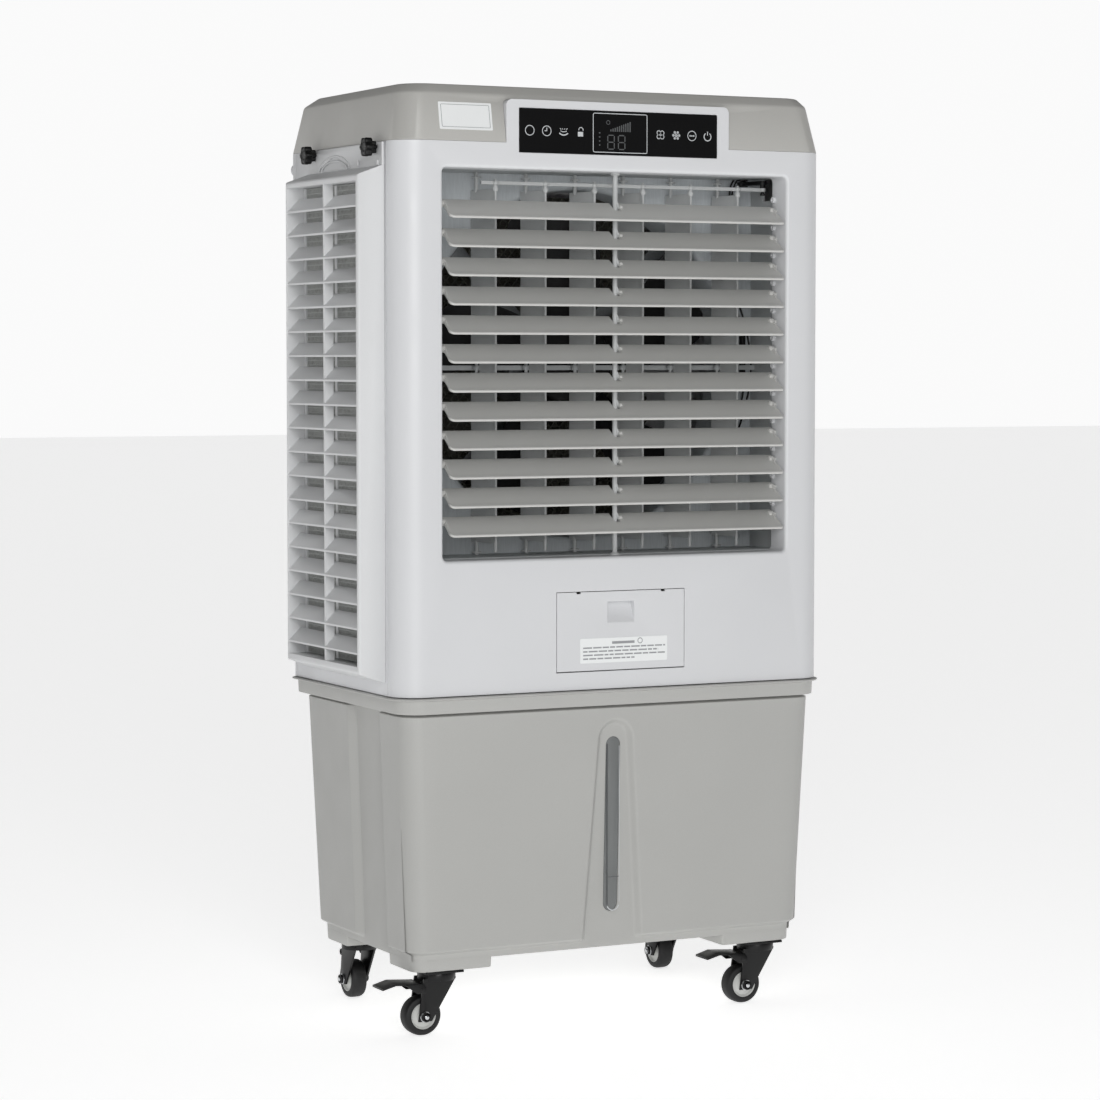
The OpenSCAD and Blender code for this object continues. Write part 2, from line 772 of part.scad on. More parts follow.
// Swivel fork with its axle bolt; it trails towards -x.
module caster_fork(i) color("#1a1b1c") in_housing() at_caster(i) {
    difference() {
        union() {
            rod_z([0, 0, 69], 9.4, 24);
            for (s = [-1, 1])
                translate([0, s * 14 + 1.25, 0]) rotate([90, 0, 0]) linear_extrude(2.5) difference() {
                    union() {
                        polygon([[-trail - 9, wheel_r - 6], [-trail + 9, wheel_r - 6], [20, 72], [-24, 72]]);
                        translate(pedal_pin) circle(4.2);
                    }
                    translate(pedal_pin) circle(pedal_pin_r + fit);
                }
        }
        rod_z([0, 0, 60], 30, kingpin_r + fit);
        rod_z([0, 0, 60], 12, 12);
    }
    rod_y([-trail, -20, wheel_r], 40, axle_r);
    for (s = [-1, 1])
        rod_y([-trail, s * 17.5 - 2.2, wheel_r], 4.4, 6);
}

module caster_wheel(i) color("#232323") in_housing() at_caster(i) {
    difference() {
        union() {
            rod_y([-trail, -10.5, wheel_r], 21, wheel_r - 2);
            rod_y([-trail, -8, wheel_r], 16, wheel_r);
            rod_y([-trail, -12, wheel_r], 24, 9);
        }
        rod_y([-trail, -13, wheel_r], 26, axle_r + fit);
        for (s = [-1, 1])
            translate([-trail, s * 10.5 - 2, wheel_r]) rotate([-90, 0, 0]) difference() {
                cylinder(h = 4, r = 18);
                translate([0, 0, -1]) cylinder(h = 6, r = 9);
            }
    }
}

// Brake pedal: a lever on a cross pin, pointing away from the fork.
module brake_pedal(i) color("#1a1b1c") in_housing() at_caster(i) {
    pin_x = pedal_pin[0];
    rotate([90, 0, 0]) translate([0, 0, -16]) linear_extrude(32)
        polygon([[pin_x + 2, 64.6], [pin_x - 34, 67], [pin_x - 52, 62.4], [pin_x - 52, 65],
            [pin_x - 34, 70], [pin_x + 2, 67.4]]);
    for (s = [-1, 1])
        translate([0, s * 17 + 1, 0]) rotate([90, 0, 0]) linear_extrude(2)
            polygon([[pin_x + 6, 55], [pin_x - 6, 55], [pin_x - 22, 67], [pin_x + 2, 67.4], [pin_x + 6, 63]]);
    rod_y([pin_x, -18.6, pedal_pin[1]], 37.2, pedal_pin_r);
}

tank();
level_window();
drain_plug();
front_panel();
side_panel_left();
side_panel_right();
rear_panel();
top_cover();
control_glass();
vane_frame();
louvre_support();
swing_motor();
fan_shroud();
motor_bracket();
fan_motor();
pump();
riser_hose();
water_distributor();
caster_plates();
power_inlet();
water_inlet();
fill_door();
fan();
louvre(0);  // louvre_01
louvre(1);  // louvre_02
louvre(2);  // louvre_03
louvre(3);  // louvre_04
louvre(4);  // louvre_05
louvre(5);  // louvre_06
louvre(6);  // louvre_07
louvre(7);  // louvre_08
louvre(8);  // louvre_09
louvre(9);  // louvre_10
louvre(10);  // louvre_11
louvre(11);  // louvre_12
vane(0);  // vane_1
vane(1);  // vane_2
vane(2);  // vane_3
vane(3);  // vane_4
vane(4);  // vane_5
vane(5);  // vane_6
vane_link();
swing_crank();
intake_grille_left();
pad_left();
intake_grille_rear();
pad_rear();
knob(knob_ys[0]);  // knob_front
knob(knob_ys[1]);  // knob_rear
caster_fork(0);  // caster_fork_fl
caster_fork(1);  // caster_fork_fr
caster_fork(2);  // caster_fork_rl
caster_fork(3);  // caster_fork_rr
caster_wheel(0);  // caster_wheel_fl
caster_wheel(1);  // caster_wheel_fr
caster_wheel(2);  // caster_wheel_rl
caster_wheel(3);  // caster_wheel_rr
brake_pedal(0);  // brake_pedal_fl
brake_pedal(1);  // brake_pedal_fr
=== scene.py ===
"""The look of an evaporative cooler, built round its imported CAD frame.

Shapes are laid out in the housing's own millimetres: x from its middle, y from its front plane
towards the rear, z from the floor. place() turns such a point into the frame's metres.
"""

import json
import math
import random

import bmesh
import bpy
from mathutils import Matrix, Vector


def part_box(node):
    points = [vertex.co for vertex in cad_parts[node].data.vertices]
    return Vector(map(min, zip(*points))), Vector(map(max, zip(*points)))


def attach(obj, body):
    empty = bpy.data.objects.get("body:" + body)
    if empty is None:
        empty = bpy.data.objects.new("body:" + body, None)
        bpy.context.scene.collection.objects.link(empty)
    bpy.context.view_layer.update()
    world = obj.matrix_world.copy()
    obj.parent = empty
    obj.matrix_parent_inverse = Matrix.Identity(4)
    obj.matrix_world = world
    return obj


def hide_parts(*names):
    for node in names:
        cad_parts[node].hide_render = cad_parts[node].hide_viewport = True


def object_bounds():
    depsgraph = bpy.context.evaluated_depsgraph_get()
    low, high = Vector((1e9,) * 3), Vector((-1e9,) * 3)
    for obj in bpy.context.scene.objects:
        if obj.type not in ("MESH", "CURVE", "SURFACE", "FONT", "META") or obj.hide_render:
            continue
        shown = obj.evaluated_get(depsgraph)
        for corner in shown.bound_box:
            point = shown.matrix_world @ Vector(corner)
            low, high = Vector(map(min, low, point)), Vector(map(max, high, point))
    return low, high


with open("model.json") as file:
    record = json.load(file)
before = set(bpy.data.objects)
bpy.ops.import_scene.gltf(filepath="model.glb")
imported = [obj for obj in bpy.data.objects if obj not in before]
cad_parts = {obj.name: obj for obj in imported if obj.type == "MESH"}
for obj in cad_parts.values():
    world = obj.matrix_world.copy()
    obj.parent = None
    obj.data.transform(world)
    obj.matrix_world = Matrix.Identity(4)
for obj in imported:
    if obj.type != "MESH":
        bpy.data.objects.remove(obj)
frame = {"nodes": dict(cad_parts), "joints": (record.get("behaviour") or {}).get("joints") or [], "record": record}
cad_lo, cad_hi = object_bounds()
front_lo, front_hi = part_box("front_panel")
ORIGIN = Vector(((front_lo.x + front_hi.x) / 2, front_lo.y, 0))


def place(x, y, z):
    return ORIGIN + Vector((x, y, z)) * 0.001


def mm_box(node):
    """Lowest and highest corner of a CAD node, in housing millimetres."""
    lo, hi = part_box(node)
    return (lo - ORIGIN) * 1000, (hi - ORIGIN) * 1000


# ---- Materials


def srgb(r, g, b):
    """A linear colour from 0-255 display values."""
    return tuple(((c / 255 + 0.055) / 1.055) ** 2.4 if c > 10 else c / 3300 for c in (r, g, b)) + (1,)


def shade(colour, k):
    return tuple(min(1, c * k) for c in colour[:3]) + (1,)


def node(tree, kind, **values):
    n = tree.nodes.new(kind)
    for key, value in values.items():
        if hasattr(n, key):
            setattr(n, key, value)
        else:
            n.inputs[key.replace("_", " ")].default_value = value
    return n


def coordinates(tree, stretch=(1, 1, 1)):
    """Object coordinates in metres, stretched along an axis."""
    where = tree.nodes.new("ShaderNodeTexCoord")
    mapping = tree.nodes.new("ShaderNodeMapping")
    mapping.inputs["Scale"].default_value = stretch
    tree.links.new(where.outputs["Object"], mapping.inputs["Vector"])
    return mapping.outputs["Vector"]


def noise(tree, vector, scale, detail=2.0):
    n = node(tree, "ShaderNodeTexNoise", Scale=scale, Detail=detail)
    tree.links.new(vector, n.inputs["Vector"])
    return n.outputs["Fac"]


def spread(tree, value, low, high):
    """A 0-1 noise turned into the range from low to high."""
    n = node(tree, "ShaderNodeMapRange")
    n.inputs["From Min"].default_value = 0.3
    n.inputs["From Max"].default_value = 0.7
    n.inputs["To Min"].default_value = low
    n.inputs["To Max"].default_value = high
    tree.links.new(value, n.inputs["Value"])
    return n.outputs["Result"]


def mix_colour(tree, factor, a, b):
    n = node(tree, "ShaderNodeMix", data_type="RGBA")
    n.inputs["A"].default_value = a
    n.inputs["B"].default_value = b
    tree.links.new(factor, n.inputs["Factor"])
    return n.outputs["Result"]


def surface(name, colour, rough=0.4, vary=0.03, grain=900, depth=0.02, stretch=(1, 1, 1), speck=0.0,
            rough_vary=0.06, **sockets):
    """Moulded or rolled material: slow changes of tone, fine specks, uneven gloss and a fine grain."""
    mat = bpy.data.materials.new(name)
    mat.use_nodes = True
    mat.diffuse_color = colour
    tree = mat.node_tree
    bsdf = tree.nodes["Principled BSDF"]
    where = coordinates(tree, stretch)
    slow = spread(tree, noise(tree, where, 7, 3), 0, 1)
    tone = mix_colour(tree, slow, shade(colour, 1 - vary), shade(colour, 1 + vary))
    if speck:
        fine = node(tree, "ShaderNodeMix", data_type="RGBA", blend_type="MULTIPLY")
        fine.inputs["Factor"].default_value = 1
        tree.links.new(tone, fine.inputs["A"])
        dots = mix_colour(tree, spread(tree, noise(tree, where, grain, 1), 0, 1),
                          (1 - speck,) * 3 + (1,), (1, 1, 1, 1))
        tree.links.new(dots, fine.inputs["B"])
        tone = fine.outputs["Result"]
    tree.links.new(tone, bsdf.inputs["Base Color"])
    tree.links.new(spread(tree, noise(tree, where, 23, 3), rough - rough_vary, rough + rough_vary),
                   bsdf.inputs["Roughness"])
    bump = node(tree, "ShaderNodeBump", Strength=1.0, Distance=depth * 0.001)
    tree.links.new(noise(tree, where, grain, 2), bump.inputs["Height"])
    tree.links.new(bump.outputs["Normal"], bsdf.inputs["Normal"])
    for key, value in sockets.items():
        bsdf.inputs[key.replace("_", " ")].default_value = value
    return mat


WHITE = surface("shell_white", srgb(216, 217, 219), 0.38, 0.01, 1300, 0.010, speck=0.015)
GRILLE = surface("grille_white", srgb(216, 217, 218), 0.42, 0.012, 1300, 0.010, speck=0.02)
TANK = surface("tank_grey", srgb(178, 178, 175), 0.42, 0.012, 1100, 0.016, speck=0.04)
COVER = surface("cover_grey", srgb(181, 180, 176), 0.42, 0.012, 1100, 0.016, speck=0.04)
LOUVRE = surface("louvre_grey", srgb(200, 200, 197), 0.4, 0.015, 1100, 0.014, speck=0.04)
VANE = surface("vane_grey", srgb(186, 188, 188), 0.4, 0.02, 1100, 0.016, speck=0.04)
FRAME = surface("vane_frame_grey", srgb(180, 183, 184), 0.48, 0.02, 1000, 0.016, speck=0.05)
SHROUD = surface("shroud_grey", srgb(190, 195, 198), 0.5, 0.04, 700, 0.03, (1, 1, 0.08), speck=0.1)
BLACK = surface("black_plastic", srgb(9, 9, 10), 0.42, 0.12, 1200, 0.02, speck=0.12, Specular_IOR_Level=0.35)
ROTOR = surface("fan_black", srgb(6, 6, 7), 0.6, 0.12, 1200, 0.02, speck=0.12, Specular_IOR_Level=0.3)
FORK = surface("caster_black", srgb(8, 8, 9), 0.34, 0.15, 900, 0.02, speck=0.12, Specular_IOR_Level=0.35)
TYRE = surface("tyre_rubber", srgb(15, 15, 16), 0.62, 0.18, 700, 0.04, speck=0.2)
HUB = surface("hub_light", srgb(205, 206, 203), 0.42, 0.02, 1100, 0.016, speck=0.04)
STEEL = surface("bright_steel", srgb(206, 208, 210), 0.22, 0.05, 1500, 0.006, Metallic=1.0)
ZINC = surface("bracket_zinc", srgb(120, 123, 125), 0.45, 0.1, 400, 0.02, speck=0.15, Metallic=0.7)
GLOSS = surface("control_gloss", srgb(5, 5, 6), 0.2, 0.2, 900, 0.002, rough_vary=0.03, Specular_IOR_Level=0.2)
NET = surface("net_grey", srgb(186, 188, 186), 0.5, 0.06, 1200, 0.01, speck=0.1)
# MARK and DIM are the colours of the printed marks; the level window also uses MARK for a painted highlight and
# DIM for painted shade
MARK = surface("mark_light", srgb(196, 199, 201), 0.5, 0.04, 1500, 0.004)
DIM = surface("mark_dim", srgb(78, 80, 81), 0.5, 0.08, 1500, 0.004)
LABEL = surface("label_paper", srgb(238, 240, 240), 0.46, 0.01, 1500, 0.006, speck=0.02)
INK = surface("label_ink", srgb(150, 152, 154), 0.5, 0.06, 1500, 0.004)
PAD = surface("cooling_pad", srgb(150, 149, 138), 0.85, 0.2, 600, 0.12, speck=0.35)
HOSE = surface("hose_clear", srgb(205, 210, 212), 0.25, 0.05, 300, 0.01, Transmission_Weight=0.35)
WINDOW = surface("clear_window", srgb(150, 153, 153), 0.16, 0.04, 300, 0.006, Transmission_Weight=0.45,
                 IOR=1.45)


# ---- Shapes


def along(axis):
    """Two directions across a unit axis."""
    axis = Vector(axis).normalized()
    helper = Vector((0, 0, 1)) if abs(axis.z) < 0.9 else Vector((1, 0, 0))
    a = axis.cross(helper).normalized()
    return axis, a, axis.cross(a)


def arc(cx, cy, r, start, end, steps):
    """Points on an arc from start to end degrees."""
    turn = [math.radians(start + (end - start) * i / steps) for i in range(steps + 1)]
    return [(cx + r * math.cos(t), cy + r * math.sin(t)) for t in turn]


def rounded(x0, y0, x1, y1, radii, steps=6):
    """Outline of a rectangle, counter-clockwise, with the radii of its four corners from [x0, y0]."""
    radii = [radii] * 4 if not hasattr(radii, "__len__") else radii
    spots = [(x0, y0, 1, 1, 180), (x1, y0, -1, 1, 270), (x1, y1, -1, -1, 0), (x0, y1, 1, -1, 90)]
    points = []
    for (x, y, kx, ky, start), r in zip(spots, radii):
        points += arc(x + kx * r, y + ky * r, r, start, start + 90, steps) if r else [(x, y)]
    return points


class Shape:
    """Faces gathered in housing millimetres, which become one piece."""

    def __init__(self):
        self.bm = bmesh.new()

    def loft(self, rings, around=True, start=True, end=True, ends_meet=False):
        """Skins rings of points. around closes each ring, and ends_meet joins the last ring to the first."""
        rows = [[self.bm.verts.new(p) for p in ring] for ring in rings]
        count = len(rows[0])
        pairs = list(zip(rows, rows[1:])) + ([(rows[-1], rows[0])] if ends_meet else [])
        faces = []
        for low, high in pairs:
            for i in range(count if around else count - 1):
                j = (i + 1) % count
                faces.append(self.bm.faces.new((low[i], low[j], high[j], high[i])))
        if around and not ends_meet:
            faces += [self.bm.faces.new(rows[0][::-1])] if start else []
            faces += [self.bm.faces.new(rows[-1])] if end else []
        return faces

    def turned(self, profile, at, axis, steps=40, loop=False, lobes=0, lobe=0.0):
        """A lathe shape: profile holds (distance along the axis, radius), lobes ripple the radius."""
        axis, a, b = along(axis)
        at = Vector(at)
        rings = []
        for far, r in profile:
            ring = []
            for i in range(steps):
                t = 2 * math.pi * i / steps
                k = r + lobe * math.cos(lobes * t) if r > 3 else r
                ring.append(at + axis * far + (a * math.cos(t) + b * math.sin(t)) * k)
            rings.append(ring)
        return self.loft(rings, ends_meet=loop)

    def rod(self, at, axis, length, r, edge=0.4, steps=32):
        """A bar with softened ends."""
        edge = min(edge, r * 0.5, length * 0.3)
        return self.turned([(0, r - edge), (edge * 0.3, r - edge * 0.3), (edge, r), (length - edge, r),
                            (length - edge * 0.3, r - edge * 0.3), (length, r - edge)], at, axis, steps)

    def sweep(self, path, across, steps=12, around=None, close=False):
        """A bar that follows a path. across is its radius, or half its width and half its thickness."""
        wide, thick = across if hasattr(across, "__len__") else (across, across)
        path = [Vector(p) for p in path]
        count = len(path)
        rings = []
        side = None
        for i, p in enumerate(path):
            before = path[(i - 1) % count] if close else path[max(i - 1, 0)]
            after = path[(i + 1) % count] if close else path[min(i + 1, count - 1)]
            ahead = (after - before).normalized()
            if around is not None:
                side = ahead.cross(Vector(around)).normalized()
            elif side is None:
                side = along(ahead)[1]
            side = (side - ahead * side.dot(ahead)).normalized()
            up = ahead.cross(side)
            turn = [2 * math.pi * (k + 0.5) / steps for k in range(steps)]
            fit = 1 / math.cos(math.pi / steps) if steps == 4 else 1
            rings.append([p + side * (wide * math.cos(t) * fit) + up * (thick * math.sin(t) * fit)
                          for t in turn])
        return self.loft(rings, ends_meet=close)

    def solid(self, outline, depth, soft=0.0, steps=2):
        """A plate from an outline of 3-D points, thickened along the vector depth, its edges softened."""
        near = [self.bm.verts.new(p) for p in outline]
        far = [self.bm.verts.new(Vector(p) + Vector(depth)) for p in outline]
        count = len(near)
        faces = [self.bm.faces.new(near[::-1]), self.bm.faces.new(far)]
        for i in range(count):
            j = (i + 1) % count
            faces.append(self.bm.faces.new((near[i], near[j], far[j], far[i])))
        if soft:
            edges = {e for f in faces for e in f.edges if e.calc_face_angle(0) > 0.5}
            bmesh.ops.bevel(self.bm, geom=list(edges), offset=soft, segments=steps, affect="EDGES",
                            profile=0.5, clamp_overlap=True)

    def block(self, a, b, soft=0.5, steps=2):
        """A box from corner a to corner b with softened edges."""
        self.solid([(a[0], a[1], a[2]), (b[0], a[1], a[2]), (b[0], b[1], a[2]), (a[0], b[1], a[2])],
                   (0, 0, b[2] - a[2]), soft, steps)

    def temporary(self):
        mesh = bpy.data.meshes.new("temporary")
        bmesh.ops.recalc_face_normals(self.bm, faces=self.bm.faces)
        self.bm.to_mesh(mesh)
        obj = bpy.data.objects.new("temporary", mesh)
        bpy.context.scene.collection.objects.link(obj)
        return obj

    def combine(self, tool, how="DIFFERENCE"):
        """Cuts another shape away, or joins it."""
        a, b = self.temporary(), tool.temporary()
        cut = a.modifiers.new("cut", "BOOLEAN")
        cut.object, cut.operation, cut.solver = b, how, "EXACT"
        cut.use_self = False
        bpy.context.view_layer.update()
        result = bpy.data.meshes.new_from_object(a.evaluated_get(bpy.context.evaluated_depsgraph_get()))
        self.bm.clear()
        self.bm.from_mesh(result)
        for obj in (a, b):
            mesh = obj.data
            bpy.data.objects.remove(obj)
            bpy.data.meshes.remove(mesh)
        bpy.data.meshes.remove(result)
        return self

    def soften(self, test, radius, steps=3):
        """Rounds the sharp edges whose two ends pass a test."""
        edges = [e for e in self.bm.edges
                 if len(e.link_faces) == 2 and e.calc_face_angle(0) > 0.35
                 and all(test(v.co) for v in e.verts)]
        bmesh.ops.bevel(self.bm, geom=edges, offset=radius, segments=steps, affect="EDGES", profile=0.5,
                        clamp_overlap=True)
        return self

    def move(self, matrix):
        self.bm.transform(matrix)
        return self

    def piece(self, name, material, body, stands_for=(), slot=None, soft=0.0, angle=32):
        """Makes the Blender object, on its body. soft is the radius given to every remaining sharp edge."""
        bm = self.bm
        bmesh.ops.recalc_face_normals(bm, faces=bm.faces)
        for v in bm.verts:
            v.co = place(*v.co)
        for f in bm.faces:
            f.smooth = True
        if not soft:
            for e in bm.edges:
                e.smooth = len(e.link_faces) == 2 and e.calc_face_angle(0) < math.radians(angle)
        mesh = bpy.data.meshes.new(name)
        bm.to_mesh(mesh)
        bm.free()
        mesh.materials.append(material)
        obj = bpy.data.objects.new(name, mesh)
        bpy.context.scene.collection.objects.link(obj)
        if soft:
            edge = obj.modifiers.new("edges", "BEVEL")
            edge.width, edge.segments = soft * 0.001, 2
            edge.limit_method, edge.angle_limit = "ANGLE", math.radians(angle)
            edge.harden_normals = True
        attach(obj, body)
        if stands_for:
            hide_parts(*stands_for)
        return obj


def from_cad(name):
    """A shape that starts from a CAD node's own faces, in housing millimetres."""
    shape = Shape()
    shape.bm.from_mesh(frame["nodes"][name].data)
    for v in shape.bm.verts:
        v.co = (v.co - ORIGIN) * 1000
    bmesh.ops.remove_doubles(shape.bm, verts=shape.bm.verts, dist=0.003)
    bmesh.ops.dissolve_limit(shape.bm, angle_limit=math.radians(0.8), verts=shape.bm.verts,
                             edges=shape.bm.edges)
    return shape


body_of = {n: body for body, members in frame["record"]["behaviour"]["bodies"].items() for n in members}
slot_of = {row["node"]: row["material_slot"] for row in frame["record"]["subparts"]}
pivot_of = {row["child"]: (Vector(row["pos_m"]) - ORIGIN) * 1000 for row in frame["joints"] if "pos_m" in row}


def soften_node(name, material, soft=0.5):
    """Rounds the edges of a CAD node's copy, which then stands for it."""
    return from_cad(name).piece(name + "_part", material, body_of[name], [name], slot_of.get(name), soft)


SOFT_NODES = {
    "side_panel_left": (WHITE, 0.5), "side_panel_right": (WHITE, 0.5), "rear_panel": (WHITE, 0.5),
    "vane_frame": (FRAME, 0.4), "swing_motor": (BLACK, 0.6),
    "motor_bracket": (ZINC, 0.5), "fan_motor": (ZINC, 0.8), "pump": (BLACK, 0.8), "riser_hose": (HOSE, 0.3),
    "water_distributor": (GRILLE, 0.4), "caster_plates": (FORK, 0.4), "power_inlet": (BLACK, 0.4),
    "water_inlet": (GRILLE, 0.4), "drain_plug": (BLACK, 0.6), "vane_link": (VANE, 0.3),
    "swing_crank": (BLACK, 0.4), "intake_grille_left": (GRILLE, 0.6), "intake_grille_rear": (GRILLE, 0.6),
    "level_window": (WINDOW, 0.2),
}
SOFT_NODES.update({f"caster_fork_{c}": (FORK, 0.5) for c in ("fl", "fr", "rl", "rr")})
SOFT_NODES.update({f"brake_pedal_{c}": (FORK, 0.5) for c in ("fl", "fr")})
for name, (material, soft) in SOFT_NODES.items():
    soften_node(name, material, soft)


def ramp(t, ends=0.3):
    """A straight 0-1 ramp whose two ends are rounded over."""
    t = min(1.0, max(0.0, t))
    steep = 2 * ends * (1 - ends)
    if t < ends:
        return t * t / steep
    if t > 1 - ends:
        return 1 - (1 - t) ** 2 / steep
    return (t - ends / 2) / (1 - ends)


def between(a, b, t):
    return a + (b - a) * t


def steps(a, b, pitch):
    """Evenly spaced values from a to b, about pitch apart."""
    count = max(1, round(abs(b - a) / pitch))
    return [between(a, b, i / count) for i in range(count + 1)]


def joined(*parts):
    """Several rising lists as one, without repeats."""
    return sorted({round(v, 4) for part in parts for v in part})


# ---- Water tank

panel_lo, panel_hi = mm_box("front_panel")
tank_lo = mm_box("tank")[0]
cover_lo, cover_hi = mm_box("top_cover")
BODY_HALF = (panel_hi.x - panel_lo.x) / 2
BODY_Z = panel_lo.z
BODY_DEPTH = cover_hi.y
SEAM_Z = cover_lo.z
TOP_Z = cover_hi.z
FOOT_Z = tank_lo.z
SKIRT_Z = FOOT_Z + 13
PANEL_Z = FOOT_Z + 24          # lower edge of the raised panels
BAND_Z = 405.5
OUTLET_Z = pivot_of["fan"].z
RAISE = 8.0
TANK_HALF, TANK_FRONT, TANK_REAR = 291, 6, 337
SIDE_RECESS = (92, 184)
ARCH_Z, ARCH_R, RECESS_FOOT = 362, 22, 40


def tank_outline(z):
    """Points and outward normals of the recessed wall at a height."""
    inset = between(20, 8, (z - FOOT_Z) / (BAND_Z - FOOT_Z))
    x1, y0, y1, r = TANK_HALF - inset, TANK_FRONT + inset, TANK_REAR - inset, 20
    xs = joined(steps(-245, -60, 30), steps(-60, 60, 1.5), steps(60, 245, 30))
    ys = joined(steps(35, 80, 15), steps(80, 102, 1.6), steps(102, 168, 11), steps(168, 200, 1.6),
                steps(200, 300, 20))
    turn = [math.radians(90 * k / 10) for k in range(1, 10)]
    points = [(x, y0, 0, -1) for x in xs]
    points += [(x1 - r + r * math.sin(t), y0 + r - r * math.cos(t), math.sin(t), -math.cos(t))
               for t in turn]
    points += [(x1, y, 1, 0) for y in ys]
    points += [(x1 - r + r * math.cos(t), y1 - r + r * math.sin(t), math.cos(t), math.sin(t)) for t in turn]
    points += [(x, y1, 0, 1) for x in reversed(xs)]
    points += [(-x1 + r - r * math.sin(t), y1 - r + r * math.cos(t), -math.sin(t), math.cos(t)) for t in turn]
    points += [(-x1, y, -1, 0) for y in reversed(ys)]
    points += [(-x1 + r - r * math.cos(t), y0 + r - r * math.sin(t), -math.cos(t), -math.sin(t))
               for t in turn]
    return points


def raised(x, y, nx, ny, z):
    """How far the wall stands out: the raised panels fall away to the hollows in slanted walls."""
    share = ramp((z - PANEL_Z + 3) / 6) * ramp((BAND_Z - 1.2 - z) / 3)
    if ny < -0.99:
        if z > ARCH_Z:
            out = math.hypot(x, z - ARCH_Z) - ARCH_R
        else:
            out = abs(x) - between(RECESS_FOOT, ARCH_R, (z - PANEL_Z) / (ARCH_Z - PANEL_Z))
        share *= ramp(out / 9 + 0.5)
    elif abs(nx) > 0.99:
        share *= ramp((SIDE_RECESS[0] - y) / 9 + 0.5) + ramp((y - SIDE_RECESS[1]) / 17 + 0.5)
    return RAISE * share


def tank_ring(z, grow=0.0, plain=False):
    ring = []
    for x, y, nx, ny in tank_outline(z):
        out = grow + (0 if plain else raised(x, y, nx, ny, z))
        ring.append((x + nx * out, y + ny * out, z))
    return ring


def window_slot(grow, y0, y1):
    """The level window's slot as a solid, from y0 to y1."""
    lo, hi = mm_box("level_window")
    r = (hi.x - lo.x) / 2 + grow
    outline = arc(0, lo.z + r - grow, r, 180, 360, 16) + arc(0, hi.z - r + grow, r, 0, 180, 16)
    shape = Shape()
    shape.solid([(x, y0, z) for x, z in outline], (0, y1 - y0, 0))
    return shape


def build_tank():
    wall = Shape()
    zs = joined(steps(SKIRT_Z, PANEL_Z - 4, 3), steps(PANEL_Z - 4, PANEL_Z + 4, 1),
                steps(PANEL_Z + 4, 350, 9), steps(350, 392, 1.5), steps(392, BAND_Z - 5, 4),
                steps(BAND_Z - 5, BAND_Z, 0.6), [BAND_Z + 2])
    rings = [tank_ring(SKIRT_Z, -1.2, True), tank_ring(SKIRT_Z + 0.4, -0.4, True)]
    rings += [tank_ring(z) for z in zs[1:]]
    rings += [tank_ring(z, -4, True) for z in reversed(steps(SKIRT_Z + 4, BAND_Z + 2, 20))]
    wall.loft(rings)
    wall.combine(window_slot(0.3, -5, 60))

    def band(half, y0, y1, rf, rr, z):
        return [(x, y, z) for x, y in rounded(-half, y0, half, y1, (rf, rf, rr, rr), 10)]

    top = BODY_Z - 1.1         # a slit stays open under the housing
    wall.loft([band(*spec) for spec in (
        (280, 16, 327, 22, 10, BAND_Z), (296.6, 2.4, 340.6, 31, 11, BAND_Z),
        (297.6, 1.4, 341.6, 32, 12, BAND_Z + 0.5),
        (298, 1, 342, 32, 12, BAND_Z + 1.4), (298.6, 0.4, 342.2, 32.5, 12, top - 4.2),
        (299.4, -0.6, 342.6, 33, 12, top - 3.4), (303.4, -2.0, 343.2, 36, 12, top - 3.2),
        (305.2, -3.2, 343.8, 38, 12, top - 2.7), (306, -4, 344, 38, 12, top - 1.9),
        (306, -4, 344, 38, 12, top - 1.1), (305.5, -3.5, 343.5, 38, 12, top - 0.4),
        (304.4, -2.4, 342.6, 37, 12, top), (297, 5, 337, 31, 9, top), (296.4, 5.6, 336, 31, 9, top - 1.8),
        (280, 16, 327, 22, 10, top - 1.8))], ends_meet=True)
    # feet, with the outer corner rounded like the wall above them
    for sx in (-1, 1):
        for sy in (0, 1):
            x0, x1, y0, y1 = 271, 166, (26, 317)[sy], (104, 239)[sy]
            rings = []
            for z, grow in ((FOOT_Z, -1.5), (FOOT_Z + 0.5, -0.5), (FOOT_Z + 1.5, 0), (SKIRT_Z + 2, 0.55)):
                low, high = sorted((sx * (x0 + grow), sx * (x1 - grow)))
                near, far = sorted((y0 - (grow if sy == 0 else -grow), y1 + (grow if sy == 0 else -grow)))
                radii = [3, 3, 3, 3]
                radii[(0 if sx < 0 else 1) if sy == 0 else (3 if sx < 0 else 2)] = 20
                rings.append([(x, y, z) for x, y in rounded(low, near, high, far, radii, 8)])
            wall.loft(rings)
    # collar round the drain hole
    wall.turned([(0, 14), (0, 16), (21, 16), (22, 15), (22, 10), (0, 10)], (200, 309, 128), (0, 1, 0), 40,
                True)
    wall.piece("tank_shell", TANK, "housing", ["tank"], "tank_grey")


build_tank()


# ---- Top cover


